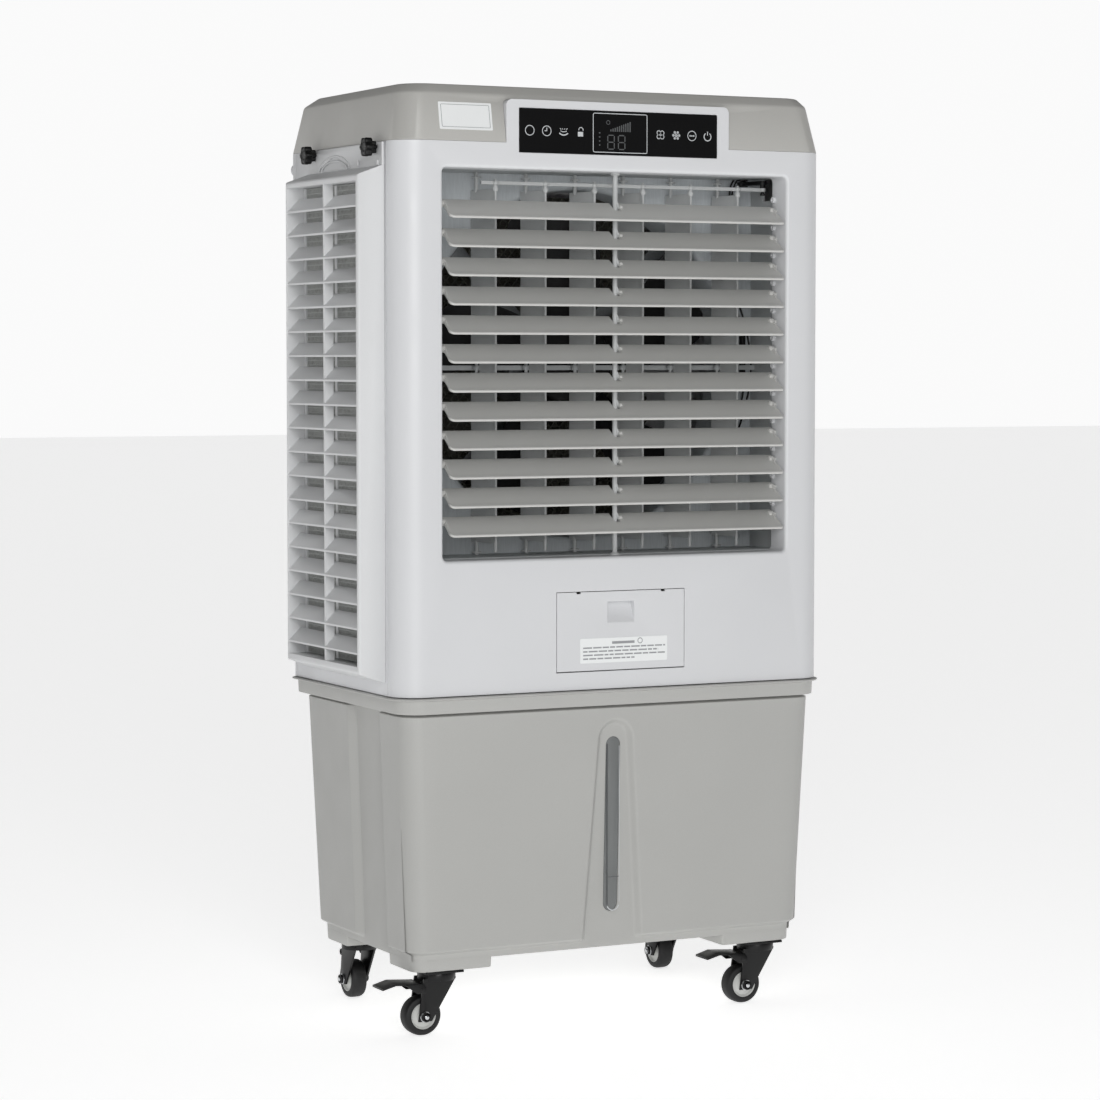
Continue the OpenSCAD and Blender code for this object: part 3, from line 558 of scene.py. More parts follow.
def build_cover():
    lean, top_in, rear_in = 11, 20, 41
    shoulder = TOP_Z - 11
    corners = [(SEAM_Z, 0, 0), (shoulder, lean, lean), (TOP_Z, top_in, rear_in), (TOP_Z, 120, 130)]
    path = [(SEAM_Z, 0.9, 0.9), (SEAM_Z + 0.3, 0.3, 0.3), (SEAM_Z + 1, 0.1, 0.1)]
    for before, here, after in zip(corners, corners[1:], corners[2:]):
        a = [h + (b - h) * (0.04 if before is corners[0] else 0.16) for h, b in zip(here, before)]
        b = [h + (c - h) * (0.16 if after is corners[2] else 0.02) for h, c in zip(here, after)]
        for t in (0, 0.2, 0.4, 0.6, 0.8, 1):
            path.append(tuple(p * (1 - t) ** 2 + h * 2 * t * (1 - t) + q * t * t
                              for p, h, q in zip(a, here, b)))

    def ring(z, side, rear, thick):
        front_r = max(20, 35 - thick - side * 0.15)
        half = BODY_HALF - side - thick
        return [(x, y, z) for x, y in rounded(-half, side + thick, half, BODY_DEPTH - rear - thick,
                                              (front_r, front_r, 12, 12), 12)]

    shape = Shape()
    outer = [ring(*spec, 0) for spec in path]
    inner = [ring(z - 2.6, side, rear, 2.6) for z, side, rear in path[3:]]
    inner.insert(0, ring(SEAM_Z, 0, 0, 2.6))
    shape.loft(outer[::-1] + inner, start=True, end=True)
    tab_half, tab_top = 157, SEAM_Z + 53.4
    notch = Shape()
    notch.solid([(x, -5, z) for x, z in rounded(-tab_half - 0.5, SEAM_Z - 5, tab_half + 0.5, tab_top + 0.5,
                                                (0, 0, 8.4, 8.4), 8)], (0, 17.2, 0))
    shape.combine(notch)
    shape.soften(lambda p: p.y < 12.1 and abs(p.x) < tab_half + 1 and p.z > SEAM_Z + 1.5, 0.7, 2)
    shape.piece("top_cover_shell", COVER, "housing", ["top_cover"], "cover_grey")


build_cover()


# ---- Front panel

LOUVRES = [f"louvre_{i:02d}" for i in range(1, 13)]


def build_front():
    wall_t = 2.8
    side_y = 37
    outer = [(-BODY_HALF, side_y)] + arc(-BODY_HALF + 35, 35, 35, 180, 270, 20)
    outer += [(-x, y) for x, y in reversed(outer)]
    inner = [(-BODY_HALF + wall_t, side_y)] + arc(-BODY_HALF + 35, 35, 35 - wall_t, 180, 270, 20)
    inner += [(-x, y) for x, y in reversed(inner)]
    shell = Shape()
    shell.solid([(x, y, BODY_Z) for x, y in outer + inner[::-1]], (0, 0, SEAM_Z - BODY_Z))

    half_w, half_h, mid_z = 243, 240, OUTLET_Z
    tab = Shape()
    tab.solid([(x, 0, z) for x, z in rounded(-157, SEAM_Z - 20, 157, SEAM_Z + 53.4, (0, 0, 8, 8), 8)],
              (0, 12, 0))
    shell.combine(tab, "UNION")
    sleeve = Shape()
    sleeve.block((-half_w - 2.5, 1, mid_z - half_h - 2.5), (half_w + 2.5, 36.5, mid_z + half_h + 2.5), 0)
    shell.combine(sleeve, "UNION")
    opening = Shape()
    opening.solid([(x, -10, z) for x, z in rounded(-half_w, mid_z - half_h, half_w, mid_z + half_h, 6, 6)],
                  (0, 60, 0))
    shell.combine(opening)
    door_lo, door_hi = mm_box("fill_door")
    cut = Shape()
    cut.block((door_lo.x + 3.2, -5, door_lo.z - 1.2), (door_hi.x - 3.2, 14, door_hi.z + 0.8), 0)
    shell.combine(cut)
    glass_lo, glass_hi = mm_box("control_glass")
    cut = Shape()
    cut.block((glass_lo.x - 0.3, -5, glass_lo.z - 0.3), (glass_hi.x + 0.3, 3.4, glass_hi.z + 0.3), 0)
    shell.combine(cut)
    shell.soften(lambda p: p.y < 0.02 and abs(p.x) < half_w + 1 and abs(p.z - mid_z) < half_h + 1, 4.5, 6)
    # bosses behind the louvres' ends
    for name in LOUVRES:
        for side in (-1, 1):
            shell.turned([(0, 4.2), (3.4, 4.0), (4, 3.5), (4, 2.2), (2, 2.0), (1, 0.4)],
                         (side * 243.2, 31.4, pivot_of[name].z + 14.8), (-side, 0, 0), 24)
    shell.piece("front_shell", WHITE, "housing", ["front_panel"], "white_shell", 0.55)


build_front()


# ---- Louvres and their support

LOUVRE_TILT = 33
support_lo, support_hi = mm_box("louvre_support")
SUPPORT_X = support_lo.x + 6.5
PIVOT_Y = 27
CHORD_FRONT, CHORD_REAR, BLADE = -31, 10, (-232, 240)


def louvre_shape():
    """A louvre lying flat, its pivot line on the x axis."""
    shape = Shape()
    left_r, right_r = 6, 1.5
    share = (0, 0.02, 0.08, 0.18, 0.32, 0.5, 0.72, 1)
    notch = (SUPPORT_X - 4.8, SUPPORT_X + 4.8)
    stations = [(BLADE[0] + left_r * k, left_r * (1 - math.sqrt(1 - (1 - k) ** 2)), CHORD_REAR)
                for k in share]
    stations += [(x, 0, CHORD_REAR) for x in steps(-200, notch[0], 40)]
    stations += [(notch[0] + 0.01, 0, -9), (notch[1] - 0.01, 0, -9)]
    stations += [(x, 0, CHORD_REAR) for x in steps(notch[1], 200, 40)]
    stations += [(BLADE[1] - right_r * k, right_r * (1 - math.sqrt(1 - (1 - k) ** 2)), CHORD_REAR)
                 for k in reversed(share)]
    bead, thin = 1.75, 1.05
    rings = []
    for x, cut, rear in stations:
        start = CHORD_FRONT + cut
        profile = [(bead * (1 - math.cos(t)), bead * math.sin(t))
                   for t in [math.radians(a) for a in (0, 25, 50, 75, 100)]]
        profile += [(3.4, 1.45), (5.2, 1.15), (8, thin), (16, thin), (rear - start - 1.0, thin),
                    (rear - start - 0.3, 0.8), (rear - start, 0.3)]
        top, bottom = [], []
        for s, h in profile:
            bow = 0.5 * math.sin(math.pi * min(1, s / (CHORD_REAR - CHORD_FRONT)))
            droop = -0.55 * max(0, 1 - s / 12) ** 2 + bow
            top.append((x, start + s, droop + h))
            bottom.append((x, start + s, droop - h))
        rings.append(top + bottom[:0:-1])
    shape.loft(rings)
    for start, length, pin, web in ((-240, 11, -247, -230.6), (232.5, 7, 239, 238)):
        shape.turned([(0, 3.4), (0.4, 4.2), (1, 4.5), (length - 1, 4.5), (length - 0.4, 4.2), (length, 3.4)],
                     (start, 0, 0), (1, 0, 0), 28)
        shape.rod((pin, 0, 0), (1, 0, 0), 8, 2.45)
        # web from the knuckle to the blade's end
        rib = ((-18, -0.6), (-18, 0.8), (-6, 3.6), (2, 4.2), (3, -1), (-4, -1.2))
        shape.solid([(web, y, z) for y, z in rib], (1.8 if web < 0 else -1.8, 0, 0), 0.3, 1)
    shape.turned([(0, 2.8), (0.5, 3.4), (4, 3.4), (4.5, 2.8)], (SUPPORT_X + 5, 0, 0), (1, 0, 0), 24)
    return shape


def build_louvres():
    for name in LOUVRES:
        turned_to = Matrix.Rotation(math.radians(LOUVRE_TILT), 4, "X")
        shape = louvre_shape()
        shape.move(Matrix.Translation((0, PIVOT_Y, pivot_of[name].z)) @ turned_to)
        shape.piece(name + "_blade", LOUVRE, name, [name], "louvre_grey", angle=40)
    post = Shape()
    post.rod((SUPPORT_X, PIVOT_Y, support_lo.z), (0, 0, 1), support_hi.z - support_lo.z, 3.2)
    for z, way in ((support_lo.z, 1), (support_hi.z, -1)):
        post.turned([(0, 6.5), (1.2, 6.5), (2.2, 5.6), (3.4, 3.6), (4.5, 3.2)], (SUPPORT_X, PIVOT_Y, z),
                    (0, 0, way), 28)
    for name in LOUVRES:
        z = pivot_of[name].z
        post.rod((SUPPORT_X, PIVOT_Y, z), (1, 0, 0), 10, 1.5)
        post.sweep([(SUPPORT_X, PIVOT_Y - 1, z + 11), (SUPPORT_X + 0.6, PIVOT_Y - 1.6, z + 8),
                    (SUPPORT_X + 2.2, PIVOT_Y - 2, z + 4.5), (SUPPORT_X + 3.3, PIVOT_Y - 1.6, z + 1)],
                   (2.0, 1.5), 10)
    post.piece("louvre_post", VANE, "housing", ["louvre_support"], "vane_grey")


build_louvres()


# ---- Upright vanes

VANE_TURN = 12
VANE_ARM = 38.8             # from a vane's pivot to its link pin
STAY_Z = OUTLET_Z - 4       # middle of the bar that steadies the vanes
WASHERS_Z = (596, 1067)


def build_vanes():
    """Thin plates with a beaded front edge, each hung on pins with washers."""
    foot, head = 610, 1052
    for name in [f"vane_{i}" for i in range(1, 7)]:
        lo, hi = mm_box(name)
        shape = Shape()
        stations = [(foot, 0.5, 10.4), (foot + 0.5, 0, 10.4), (STAY_Z - 6, 0, 10.4), (STAY_Z - 5.99, 0, -7),
                    (STAY_Z + 5.99, 0, -7), (STAY_Z + 6, 0, 10.4), (head - 0.5, 0, 10.4), (head, 0.5, 10.4)]
        rings = []
        for z, inset, rear in stations:
            profile = [(-40.7 + inset, 0.5), (-40.3 + inset, 1.1), (-39.3, 1.5), (-38.1, 1.35), (-37, 1.1),
                       (-30, 1.0), (rear - 0.4 - inset, 1.0), (rear - inset, 0.5)]
            ring = [(h - inset * 0.3, y, z) for y, h in profile]
            rings.append(ring + [(-x, y, z) for x, y, z in reversed(ring)])
        shape.loft(rings)
        shape.rod((0, 0, lo.z), (0, 0, 1), foot + 3 - lo.z, 2.5)
        shape.rod((0, 0, head - 3), (0, 0, 1), hi.z - head + 3, 2.5)
        shape.rod((0, 0, STAY_Z - 8), (0, 0, 1), 16, 2)
        for z in WASHERS_Z:
            shape.rod((0, 0, z), (0, 0, 1), 2, 6, 0.5)
        shape.turned([(-3, 2.8), (0, 4), (0.6, 4), (4, 2.3), (11.4, 1.75), (12, 1.3)], (0, -VANE_ARM, head),
                     (0, 0, 1), 24)
        shape.rod((0, -VANE_ARM, foot - 11), (0, 0, 1), 14, 2.2)
        pivot = pivot_of[name]
        turned_to = Matrix.Rotation(math.radians(VANE_TURN), 4, "Z")
        shape.move(Matrix.Translation((pivot.x, pivot.y, 0)) @ turned_to)
        shape.piece(name + "_plate", VANE, name, [name], "vane_grey", angle=38)


build_vanes()


# ---- Fan and shroud

fan_lo, fan_hi = mm_box("fan")
FAN_Z = (fan_lo.z + fan_hi.z) / 2
FAN_R = (fan_hi.x - fan_lo.x) / 2
shroud_lo, shroud_hi = mm_box("fan_shroud")


def build_fan():
    shape = Shape()
    hub = 56
    y0, y1 = fan_lo.y, fan_hi.y
    mid_y = (y0 + y1) / 2
    shape.turned([(0.0, 10), (0, 46), (1.5, 52), (4.5, 55), (9, hub), (y1 - y0, hub), (y1 - y0, hub - 3),
                  (8, hub - 4), (6, 40), (6, 12)], (0, y0, FAN_Z), (0, 1, 0), 64, True)
    for k in range(8):
        turn = 2 * math.pi * k / 8
        a = Vector((math.cos(turn), 0, math.sin(turn)))
        shape.solid([Vector((0, y0 + 7, FAN_Z)) + a * 13, Vector((0, y0 + 7, FAN_Z)) + a * 52,
                     Vector((0, y0 + 24, FAN_Z)) + a * 52, Vector((0, y0 + 20, FAN_Z)) + a * 13],
                    a.cross(Vector((0, 1, 0))) * 2, 0.3, 1)
    for k in range(5):
        base = 2 * math.pi * k / 5 + 0.3
        rings = []
        for i in range(19):
            t = i / 18
            r = between(hub - 2, FAN_R - 0.5, t)
            pitch = math.radians(between(36, 19, t))
            chord = between(58, 118, t ** 0.8) * (1 - 0.35 * max(0, (t - 0.86) / 0.14) ** 2)
            lead = math.radians(12) * t * t
            ring = []
            for s, h in ((-0.5, 0.15), (-0.46, 0.7), (-0.3, 1.25), (0, 1.5), (0.3, 1.15), (0.46, 0.6), (0.5, 0.15),
                         (0.46, -0.5), (0.3, -0.8), (0, -1.0), (-0.3, -0.9), (-0.46, -0.5)):
                camber = 5 * (1 - (2 * s) ** 2) * (1 - 0.4 * t)
                tangential = s * chord * math.cos(pitch) - (camber + h) * math.sin(pitch)
                axial = s * chord * math.sin(pitch) + (camber + h) * math.cos(pitch) - 2
                angle = base + lead + tangential / r
                ring.append((r * math.cos(angle), mid_y + axial, FAN_Z + r * math.sin(angle)))
            rings.append(ring)
        shape.loft(rings)
    shape.piece("fan_rotor", ROTOR, "fan", ["fan"], "black_plastic", angle=45)

    # bell-mouthed shroud: a square plate that rolls into the duct
    plate = Shape()
    inner_r, roll, thick = 222, 9, 2.5
    y0, y1 = shroud_lo.y, shroud_hi.y
    count = 120
    turns = [2 * math.pi * (i + 0.5) / count for i in range(count)]

    def square(inset, y):
        ring = []
        for t in turns:
            c, s = math.cos(t), math.sin(t)
            half_x, half_z = shroud_hi.x - inset, (shroud_hi.z - shroud_lo.z) / 2 - inset
            k = min(half_x / max(abs(c), 1e-6), half_z / max(abs(s), 1e-6))
            ring.append((c * k, y, (shroud_lo.z + shroud_hi.z) / 2 + s * k))
        return ring

    def circle(r, y):
        return [(r * math.cos(t), y, FAN_Z + r * math.sin(t)) for t in turns]

    rings = [square(0, y0 + thick), square(0, y0 + 0.5), square(0.5, y0), circle(inner_r + roll + 1.5, y0)]
    for a in [math.radians(a) for a in (10, 25, 40, 55, 70, 90)]:
        rings.append(circle(inner_r + roll - roll * math.sin(a), y0 + roll - roll * math.cos(a)))
    rings += [circle(inner_r, y1), circle(inner_r + thick, y1), circle(inner_r + thick, y0 + roll + 1)]
    rings += [circle(inner_r + roll + 1.5, y0 + thick)]
    plate.loft(rings, ends_meet=True)
    for x in (-236, 236):
        for z in (shroud_lo.z + 18, shroud_hi.z - 18):
            plate.turned([(0, 4.6), (-1.2, 4.4), (-2.2, 3.2), (-2.5, 1.4)], (x, y0 + 0.2, z), (0, 1, 0), 20)
    plate.piece("fan_shroud_plate", SHROUD, "housing", ["fan_shroud"], "shroud_grey")


build_fan()


# ---- Cooling pads


def build_pad(name, body):
    """Corrugated sheets on edge, alternately slanted, as in a paper cooling pad."""
    lo, hi = mm_box(name)
    deep = (hi - lo).x < (hi - lo).y
    width = (hi - lo).y if deep else (hi - lo).x
    start = lo.y if deep else lo.x
    rng = random.Random(5)
    pitch, wave, flute = 6.4, 2.5, 15.0
    count = int(width / pitch)
    shape = Shape()
    for k in range(count):
        centre = start + (k + 0.5) * width / count
        zs = steps(lo.z, hi.z, flute / 2)
        phase = rng.random() * 0.4 + (k % 2)
        line = []
        for i, z in enumerate(zs):
            swing_out = wave * (1 if (i + (k % 2)) % 2 else -1) * (0.9 + 0.2 * rng.random()) + 0.15 * phase
            line.append((centre + swing_out, z))
        half = 0.35
        a, b = (lo.x, hi.x) if deep else (lo.y, hi.y)
        near, far = a + 0.8 * rng.random(), b - 0.8 * rng.random()
        rings = []
        for c, z in line:
            corners = ((c - half, near), (c + half, near), (c + half, far), (c - half, far))
            rings.append([(d, w, z) if deep else (w, d, z) for w, d in corners])
        shape.loft(rings)
    shape.piece(name + "_paper", PAD, body, [name], "cooling_pad", angle=20)


def build_net():
    """Dust net on the left pad: fine bars in a frame with an upright behind the rib."""
    lo, hi = mm_box("pad_left")
    x = lo.x - 2.2
    net = Shape()
    for y in steps(lo.y + 1, hi.y - 1, 3.4):
        net.block((x + 0.5, y - 0.7, lo.z), (x + 1.0, y + 0.7, hi.z), 0)
    for z in steps(lo.z + 1, hi.z - 1, 6):
        net.block((x + 1.0, lo.y, z - 0.5), (x + 1.4, hi.y, z + 0.5), 0)
    net.piece("dust_net", NET, "intake_left", slot="wire_black")
    bars = Shape()
    middle_y = (lo.y + hi.y) / 2 + 4
    for y0, y1 in ((lo.y, lo.y + 6), (middle_y, middle_y + 6), (hi.y - 6, hi.y)):
        bars.block((x - 0.6, y0, lo.z), (x + 1.5, y1, hi.z), 0.4)
    bars.piece("dust_net_frame", GRILLE, "intake_left", slot="grille_white")


def build_tab_details():
    """The arched bead of the finger recess on the left grille's tab, and two pegs below the front knob."""
    tab = Shape()
    face, arch_y, arch_z = -305.6, 190, 1075
    for half, rise in ((49, 19.5), (41, 13.5)):
        line = [(face, arch_y + half * math.cos(t), arch_z + rise * math.sin(t))
                for t in [math.radians(a) for a in range(4, 178, 6)]]
        tab.sweep(line, (1.3, 0.8), 10)
    for y, z in ((52, 1077), (112, 1079)):
        tab.rod((face - 1, y, z), (0, 0, 1), 6, 1.5, 0.5, 16)
    tab.piece("grille_tab_bead", GRILLE, "intake_left", slot="grille_white")


build_pad("pad_left", "intake_left")
build_pad("pad_rear", "intake_rear")
build_net()
build_tab_details()


# ---- Controls, door, plates


def build_controls():
    lo, hi = mm_box("control_glass")
    glass = Shape()
    glass.solid([(x, lo.y, z) for x, z in rounded(lo.x, lo.z, hi.x, hi.z, 2, 4)], (0, hi.y - lo.y, 0))
    glass.piece("control_screen", GLOSS, "housing", ["control_glass"], "control_gloss", 0.35)
    face = lo.y
    middle_z = (lo.z + hi.z) / 2

    def stroke(shape, points, width=0.9, close=False):
        shape.sweep([(x, face, z) for x, z in points], (width / 2, 0.1), 4, around=(0, 1, 0), close=close)

    def ring(shape, x, z, r, start=0, end=360, width=0.9):
        if end - start == 360:
            stroke(shape, arc(x, z, r, 0, 360, 36)[:-1], width, True)
        else:
            stroke(shape, arc(x, z, r, start, end, 24), width)

    marks = Shape()
    xs = [lo.x + 14 + 23.4 * i for i in range(4)] + [hi.x - 14 - 22.6 * i for i in range(3, -1, -1)]
    z = middle_z
    ring(marks, xs[0], z, 6)
    ring(marks, xs[1], z, 6)
    stroke(marks, [(xs[1], z + 3.8), (xs[1], z), (xs[1] - 3, z)], 1.1)
    ring(marks, xs[2], z + 4, 8.5, 225, 315, 1.4)
    ring(marks, xs[2], z + 8, 8.5, 240, 300, 0.9)
    for k in (-3, -1, 1, 3):
        stroke(marks, [(xs[2] + k * 1.2, z + 2.2), (xs[2] + k * 1.7, z + 3.8)], 0.8)
    marks.block((xs[3] - 3.6, face - 0.1, z - 5.5), (xs[3] + 3.6, face + 0.2, z + 0.2), 0)
    ring(marks, xs[3] + 0.6, z + 2.6, 3, -20, 190)
    for k in range(4):
        t = math.radians(45 + 90 * k)
        ring(marks, xs[4] + 3.5 * math.cos(t), z + 3.5 * math.sin(t), 2.5)
    for k in range(3):
        t = math.radians(60 * k)
        c, s = math.cos(t) * 5.4, math.sin(t) * 5.4
        stroke(marks, [(xs[5] - c, z - s), (xs[5] + c, z + s)], 1.2)
    for k in range(6):
        t = math.radians(60 * k)
        ring(marks, xs[5] + 4.2 * math.cos(t), z + 4.2 * math.sin(t), 1.2, width=0.8)
    ring(marks, xs[6], z, 6)
    for k in (-1, 0, 1):
        x = xs[6] + k * 2.6
        marks.block((x - 0.8, face - 0.1, z - 0.9), (x + 0.8, face + 0.2, z + 0.9), 0)
    ring(marks, xs[7], z - 0.5, 5, -235, 55, 1.2)
    stroke(marks, [(xs[7], z + 1.2), (xs[7], z + 6)], 1.2)
    wide, tall = 76, 48
    x_mid = lo.x + 102 + wide / 2
    frame_line = rounded(x_mid - wide / 2, z - tall / 2, x_mid + wide / 2, z + tall / 2, 2, 3)
    stroke(marks, frame_line, 0.9, True)
    marks.piece("control_marks", MARK, "housing", slot="mark_light")

    dim = Shape()
    for k in range(10):
        x = x_mid - 14 + 3 * k
        dim.block((x, face - 0.1, z + 2), (x + 1.8, face + 0.2, z + 4.5 + 1.1 * k), 0)
    ring(dim, x_mid - 17, z + 13, 2.4, width=0.8)
    for digit in range(2):
        x = x_mid - 13 + 15 * digit
        for row in range(3):
            dim.block((x - 3.6, face - 0.1, z - 20.6 + 8.6 * row),
                      (x + 3.6, face + 0.2, z - 19.2 + 8.6 * row), 0)
        for row in range(2):
            for side in (-1, 1):
                dim.block((x + side * 4.6 - 0.7, face - 0.1, z - 19 + 8.6 * row),
                          (x + side * 4.6 + 0.7, face + 0.2, z - 12.2 + 8.6 * row), 0)
    for k in range(4):
        dim.block((x_mid - 30, face - 0.1, z - 16 + 5 * k), (x_mid - 28, face + 0.2, z - 14.4 + 5 * k), 0)
    dim.piece("control_display", DIM, "housing", slot="mark_light")


def build_door():
    x_mid, half = 3, 90.5
    z1 = mm_box("fill_door")[1].z
    z0 = z1 - 99
    door = Shape()
    door.block((x_mid - half, 0, z0), (x_mid + half, 2.8, z1), 0)
    back = Shape()
    back.block((x_mid - 21, 1, z1 - 43.5), (x_mid + 21, 14, z1 - 1.5), 0)
    door.combine(back, "UNION")
    pocket = Shape()
    slope = ((-1, z1 - 41.5), (-1, z1 - 13), (11, z1 - 13), (11, z1 - 18))
    pocket.solid([(x_mid - 19, y, z) for y, z in slope], (38, 0, 0))
    door.combine(pocket)
    for side in (-1, 1):
        slot = Shape()
        slot.block((x_mid + side * 60 - 3, -1, z1 - 2.2), (x_mid + side * 60 + 3, 5, z1 + 1), 0)
        door.combine(slot)
        door.block((x_mid + side * 88 - 2.5, 1, z0), (x_mid + side * 88 + 2.5, 6, z0 + 10), 0.4)
        door.rod((x_mid + side * 90.5 - 4, 3, z0 + 4), (1, 0, 0), 8, 2)
    door.soften(lambda p: p.y < 0.02 and abs(p.x - x_mid) < 19.5 and z1 - 42 < p.z < z1 - 12, 1.2, 3)
    door.piece("fill_door_leaf", WHITE, "fill_door", ["fill_door"], "white_shell", 0.45)
    label = Shape()
    label.solid([(x, -0.25, z) for x, z in rounded(-55, 460, 69, 491, 1.5, 3)], (0, 0.4, 0))
    label.piece("door_label", LABEL, "fill_door", slot="label_grey")
    ink = Shape()
    for row, (x0, x1) in enumerate(((-51, 66), (-51, 56), (-51, 66), (-51, 22))):
        rng = random.Random(row)
        x = x0
        while x < x1:
            run = 5 + 9 * rng.random()
            ink.block((x, -0.35, 478.2 - 4.6 * row), (min(x1, x + run), -0.2, 480 - 4.6 * row), 0)
            x += run + 1.6
    ink.block((-10, -0.35, 483.2), (22, -0.2, 486.4), 0)
    ink.sweep([(x, -0.3, z) for x, z in arc(30, 486, 3.2, 0, 360, 24)[:-1]], (0.5, 0.08), 4,
              around=(0, 1, 0), close=True)
    ink.piece("door_label_bars", INK, "fill_door", slot="label_grey")


def build_level_marks():
    """The water's edge behind the clear window, with painted shade for the shaded wall at its left side and a
    painted highlight along its lower rim and right side.
    """
    lo, hi = mm_box("level_window")
    marks = Shape()
    face = lo.y
    # painted shade: a dark strip down the window's left side stands for the slot wall in shade; below it the
    # water's edge is a dark line
    marks.block((lo.x + 0.8, face - 0.15, lo.z + 9), (lo.x + 2.6, face + 0.3, hi.z - 9), 0)
    marks.block((lo.x + 3, face - 0.15, lo.z + 44), (hi.x - 1.4, face + 0.3, lo.z + 44.8), 0)
    marks.piece("level_shade", DIM, "housing", slot="wire_black")
    # painted highlight: a pale arc along the window's lower rim and a pale strip down its right side, where light
    # catches the slot's edge and wall
    light = Shape()
    r = (hi.x - lo.x) / 2 - 1.6
    line = arc((lo.x + hi.x) / 2, lo.z + r + 1.6, r, 200, 345, 18)
    light.sweep([(x, face - 0.02, z) for x, z in line], (0.6, 0.2), 4, around=(0, 1, 0))
    light.block((hi.x - 1.4, face - 0.15, lo.z + 12), (hi.x - 0.7, face + 0.3, hi.z - 12), 0)
    light.piece("level_glint", MARK, "housing", slot="mark_light")


def build_nameplate():
    """A blank plate on the cover's leaning face."""
    lean = 11 / (TOP_Z - 11 - SEAM_Z)

    def face(x, z, out=0.0):
        return (x, (z - SEAM_Z) * lean - out, z)

    plate = Shape()
    outline = rounded(-245.8, 1119.5, -174.3, 1153, 1.2, 3)
    plate.loft([[face(x, z, -0.5) for x, z in outline], [face(x, z, 0.35) for x, z in outline],
                [face(x * 0.995 - 1.05, z * 0.9995 + 0.57, 0.5) for x, z in outline]])
    plate.piece("nameplate", LABEL, "housing", slot="label_grey")
    line = Shape()
    line.sweep([face(x, z, 0.55) for x, z in rounded(-242.5, 1122.5, -177.6, 1150, 1, 3)], (0.3, 0.1), 4,
               around=(0, 1, 0), close=True)
    line.piece("nameplate_border", INK, "housing", slot="label_grey")


build_controls()
build_door()
build_nameplate()
build_level_marks()


# ---- Knobs and casters


def build_knobs():
    for name in ("knob_front", "knob_rear"):
        lo, hi = mm_box(name)
        y, z = (lo.y + hi.y) / 2, (lo.z + hi.z) / 2
        shape = Shape()
        profile = [(0, 6.2), (0.4, 7), (5.2, 7), (5.8, 8.6), (6.4, 10.4), (7.4, 11.2), (14, 11.2), (15.2, 10.6),
                   (15.9, 9.2), (16, 6.4), (15.4, 5.2), (15.3, 2)]
        shape.turned(profile, (lo.x + 16, y, z), (-1, 0, 0), 96, lobes=6, lobe=1.25)
        shape.rod((lo.x + 16.3, y, z), (1, 0, 0), 11.4, 2.5)
        shape.piece(name + "_head", BLACK, body_of[name], [name], "black_plastic")


def build_leads():
    """The swing motor's two leads, which hang down beside the shroud."""
    leads = Shape()
    front = [(228, 98, 1080), (222, 109.5, 1062), (221, 111, 1000), (229, 111, 935), (238, 111, 910),
             (245, 111, 890), (250.5, 111, 869), (254.5, 111, 845), (255.7, 111, 826), (254, 111, 806),
             (249, 111, 786), (242, 111, 762), (232, 110, 740), (221, 108, 722)]
    back = [(233, 99, 1080), (226, 109.5, 1060), (222, 111, 1000), (228, 110, 925), (236, 110, 895),
            (241, 110, 872), (244, 110, 845), (244.5, 110, 815), (243, 110, 795), (238, 110, 778),
            (228, 110, 760), (217, 108, 745)]
    for run in (front, back):
        points = [Vector(p) for p in run]
        smooth = []
        for i in range(len(points) - 1):
            a, b, c, d = points[max(i - 1, 0)], points[i], points[i + 1], points[min(i + 2, len(points) - 1)]
            for t in (0, 0.25, 0.5, 0.75):
                smooth.append((b * 2 + (c - a) * t + (a * 2 - b * 5 + c * 4 - d) * t ** 2
                               + (b * 3 - a - c * 3 + d) * t ** 3) / 2)
        leads.sweep(smooth + [points[-1]], 1.2, 10)
    leads.block((238.5, 110, 800), (246.5, 113, 872), 0.6)
    leads.piece("motor_leads", BLACK, "housing", slot="wire_black")


def build_wheels():
    for c in ("fl", "fr", "rl", "rr"):
        name = "caster_wheel_" + c
        lo, hi = mm_box(name)
        centre = (lo + hi) / 2
        axis = Vector((0, 1, 0)) if (hi - lo).y < (hi - lo).x else Vector((1, 0, 0))
        r = (hi.z - lo.z) / 2
        tyre = Shape()
        half = [(9.6, 16.4), (10.2, 17), (10.4, 18.6), (10.2, 21), (9.2, 23.2), (7.4, r - 0.7), (5, r - 0.15)]
        tyre.turned([(-x, k) for x, k in half] + [(0, r)] + half[::-1], centre, axis, 72, True)
        tyre.piece("tyre_" + c, TYRE, body_of[name], [name], "wheel_tread")
        hub = Shape()
        half = [(12, 3.2), (12, 7), (11.4, 8), (8, 8.8), (7.4, 10), (7.4, 14), (8.4, 15), (9.8, 15.6),
                (10.1, 16.2), (9.6, 16.8)]
        hub.turned([(-x, k) for x, k in half] + [(0, 17)] + half[::-1], centre, axis, 64, True)
        hub.piece("hub_" + c, HUB, body_of[name], slot="hub_light")
        nuts = Shape()
        for way in (-1, 1):
            nuts.turned([(15.4, 3.2), (15.4, 6.6), (16, 7), (16.6, 6.6)], centre, axis * way, 28)
            nuts.turned([(16.5, 4.8), (16.8, 5.4), (19.2, 5.4), (19.7, 4.8)], centre, axis * way, 6)
            nuts.turned([(19.5, 2.9), (20.6, 2.7), (21, 2)], centre, axis * way, 18)
        nuts.piece("axle_nuts_" + c, STEEL, body_of["caster_fork_" + c], slot="bright_steel")


build_knobs()
build_leads()
build_wheels()


# ---- Floor, light and camera

SKY_SIDE = 0.4         # the sky's brightness in front and at the sides, against that behind


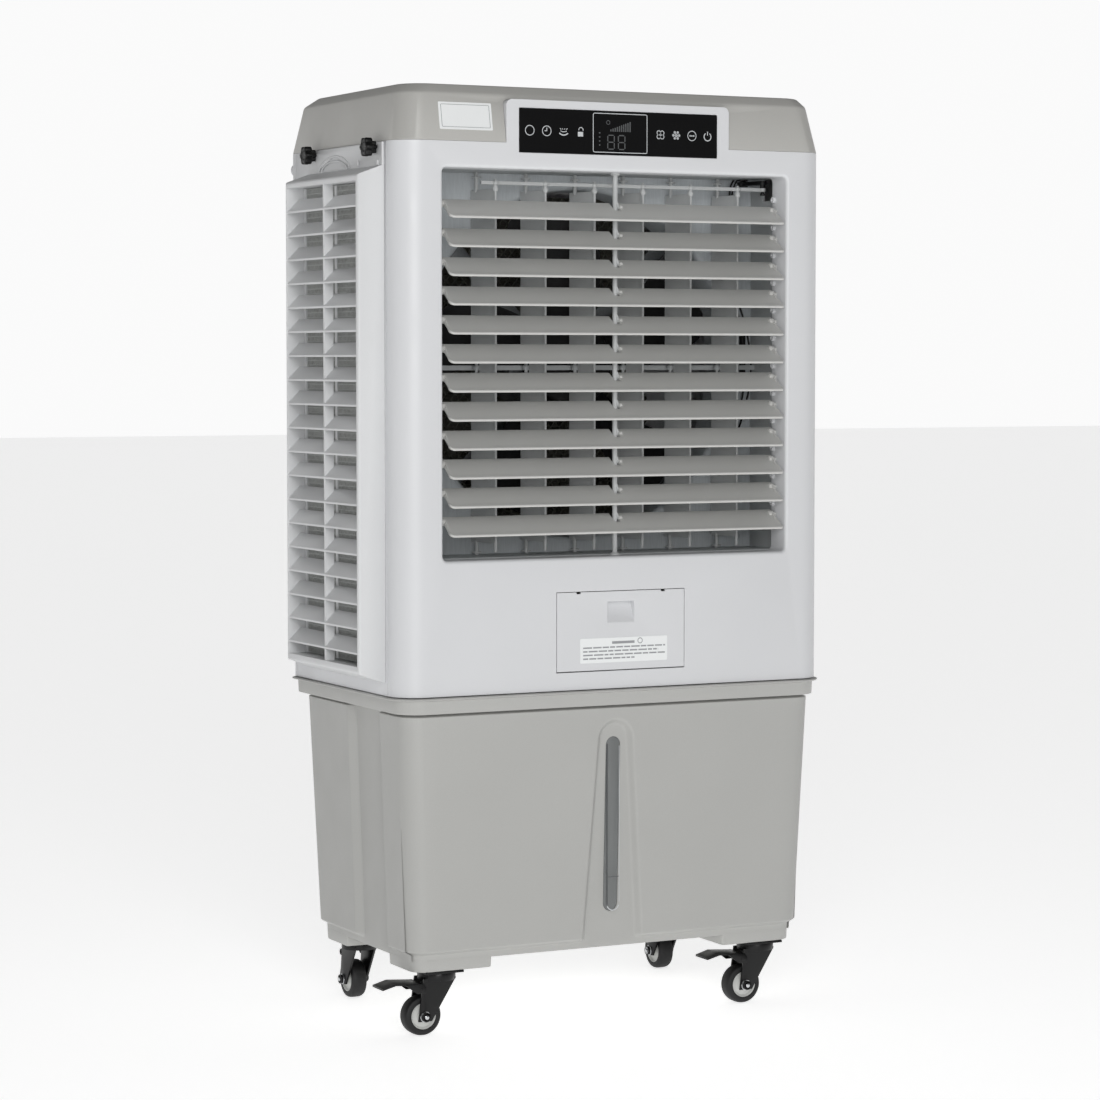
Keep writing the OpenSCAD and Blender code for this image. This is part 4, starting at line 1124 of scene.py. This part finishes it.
def stage():
    """A pale floor that glows a little, and a sky that is brightest behind the cooler."""
    floor_mat = surface("floor_pale", (0.86, 0.86, 0.86, 1), 0.75, 0.004, 40, 0.0,
                        Emission_Color=(1, 1, 1, 1), Emission_Strength=0.7)
    bpy.ops.mesh.primitive_plane_add(size=60, location=(0, 0, 0))
    floor = bpy.context.object
    floor.name = "floor"
    floor.data.materials.append(floor_mat)

    world = bpy.data.worlds.new("studio")
    bpy.context.scene.world = world
    world.use_nodes = True
    tree = world.node_tree
    where = tree.nodes.new("ShaderNodeTexCoord")
    split = tree.nodes.new("ShaderNodeSeparateXYZ")
    height = tree.nodes.new("ShaderNodeMapRange")
    height.inputs["From Min"].default_value = 0.12
    height.inputs["From Max"].default_value = 0.35
    height.inputs["To Min"].default_value = 0.96
    height.inputs["To Max"].default_value = 0.22
    tree.links.new(where.outputs["Generated"], split.inputs["Vector"])
    tree.links.new(split.outputs["Z"], height.inputs["Value"])
    back = node(tree, "ShaderNodeVectorMath", operation="DOT_PRODUCT")
    tree.links.new(where.outputs["Generated"], back.inputs[0])
    back.inputs[1].default_value = (0.45, 0.89, 0)
    side = tree.nodes.new("ShaderNodeMapRange")
    side.inputs["From Min"].default_value = 0.1
    side.inputs["From Max"].default_value = 0.75
    side.inputs["To Min"].default_value = SKY_SIDE
    side.inputs["To Max"].default_value = 1.0
    tree.links.new(back.outputs["Value"], side.inputs["Value"])
    both = node(tree, "ShaderNodeMath", operation="MULTIPLY")
    tree.links.new(height.outputs["Result"], both.inputs[0])
    tree.links.new(side.outputs["Result"], both.inputs[1])
    tree.links.new(both.outputs["Value"], tree.nodes["Background"].inputs["Strength"])
    tree.nodes["Background"].inputs["Color"].default_value = (1, 1, 1, 1)


def lamp(name, size, power, azimuth, elevation, distance, target):
    """A square soft light that faces the target."""
    data = bpy.data.lights.new(name, "AREA")
    data.energy, data.size = power, size
    obj = bpy.data.objects.new(name, data)
    a, e = math.radians(azimuth), math.radians(elevation)
    away = Vector((math.sin(a) * math.cos(e), -math.cos(a) * math.cos(e), math.sin(e)))
    obj.location = target + away * distance
    obj.rotation_mode = "QUATERNION"
    obj.rotation_quaternion = away.to_track_quat("Z", "Y")
    bpy.context.scene.collection.objects.link(obj)


stage()
middle = (cad_lo + cad_hi) / 2
lamp("key", 2.0, 68, -22, 14, 4.2, middle)

camera_data = bpy.data.cameras.new("camera")
camera_data.sensor_width = 36
camera_data.lens = 106.473
camera = bpy.data.objects.new("camera", camera_data)
camera.location = place(-1919.01, -3601.20, 839.92)
camera.rotation_euler = (math.radians(90 - 3.351), 0, math.radians(-26.833))
bpy.context.scene.collection.objects.link(camera)
bpy.context.scene.camera = camera
bpy.context.scene.view_settings.view_transform = "Standard"

bpy.context.view_layer.update()
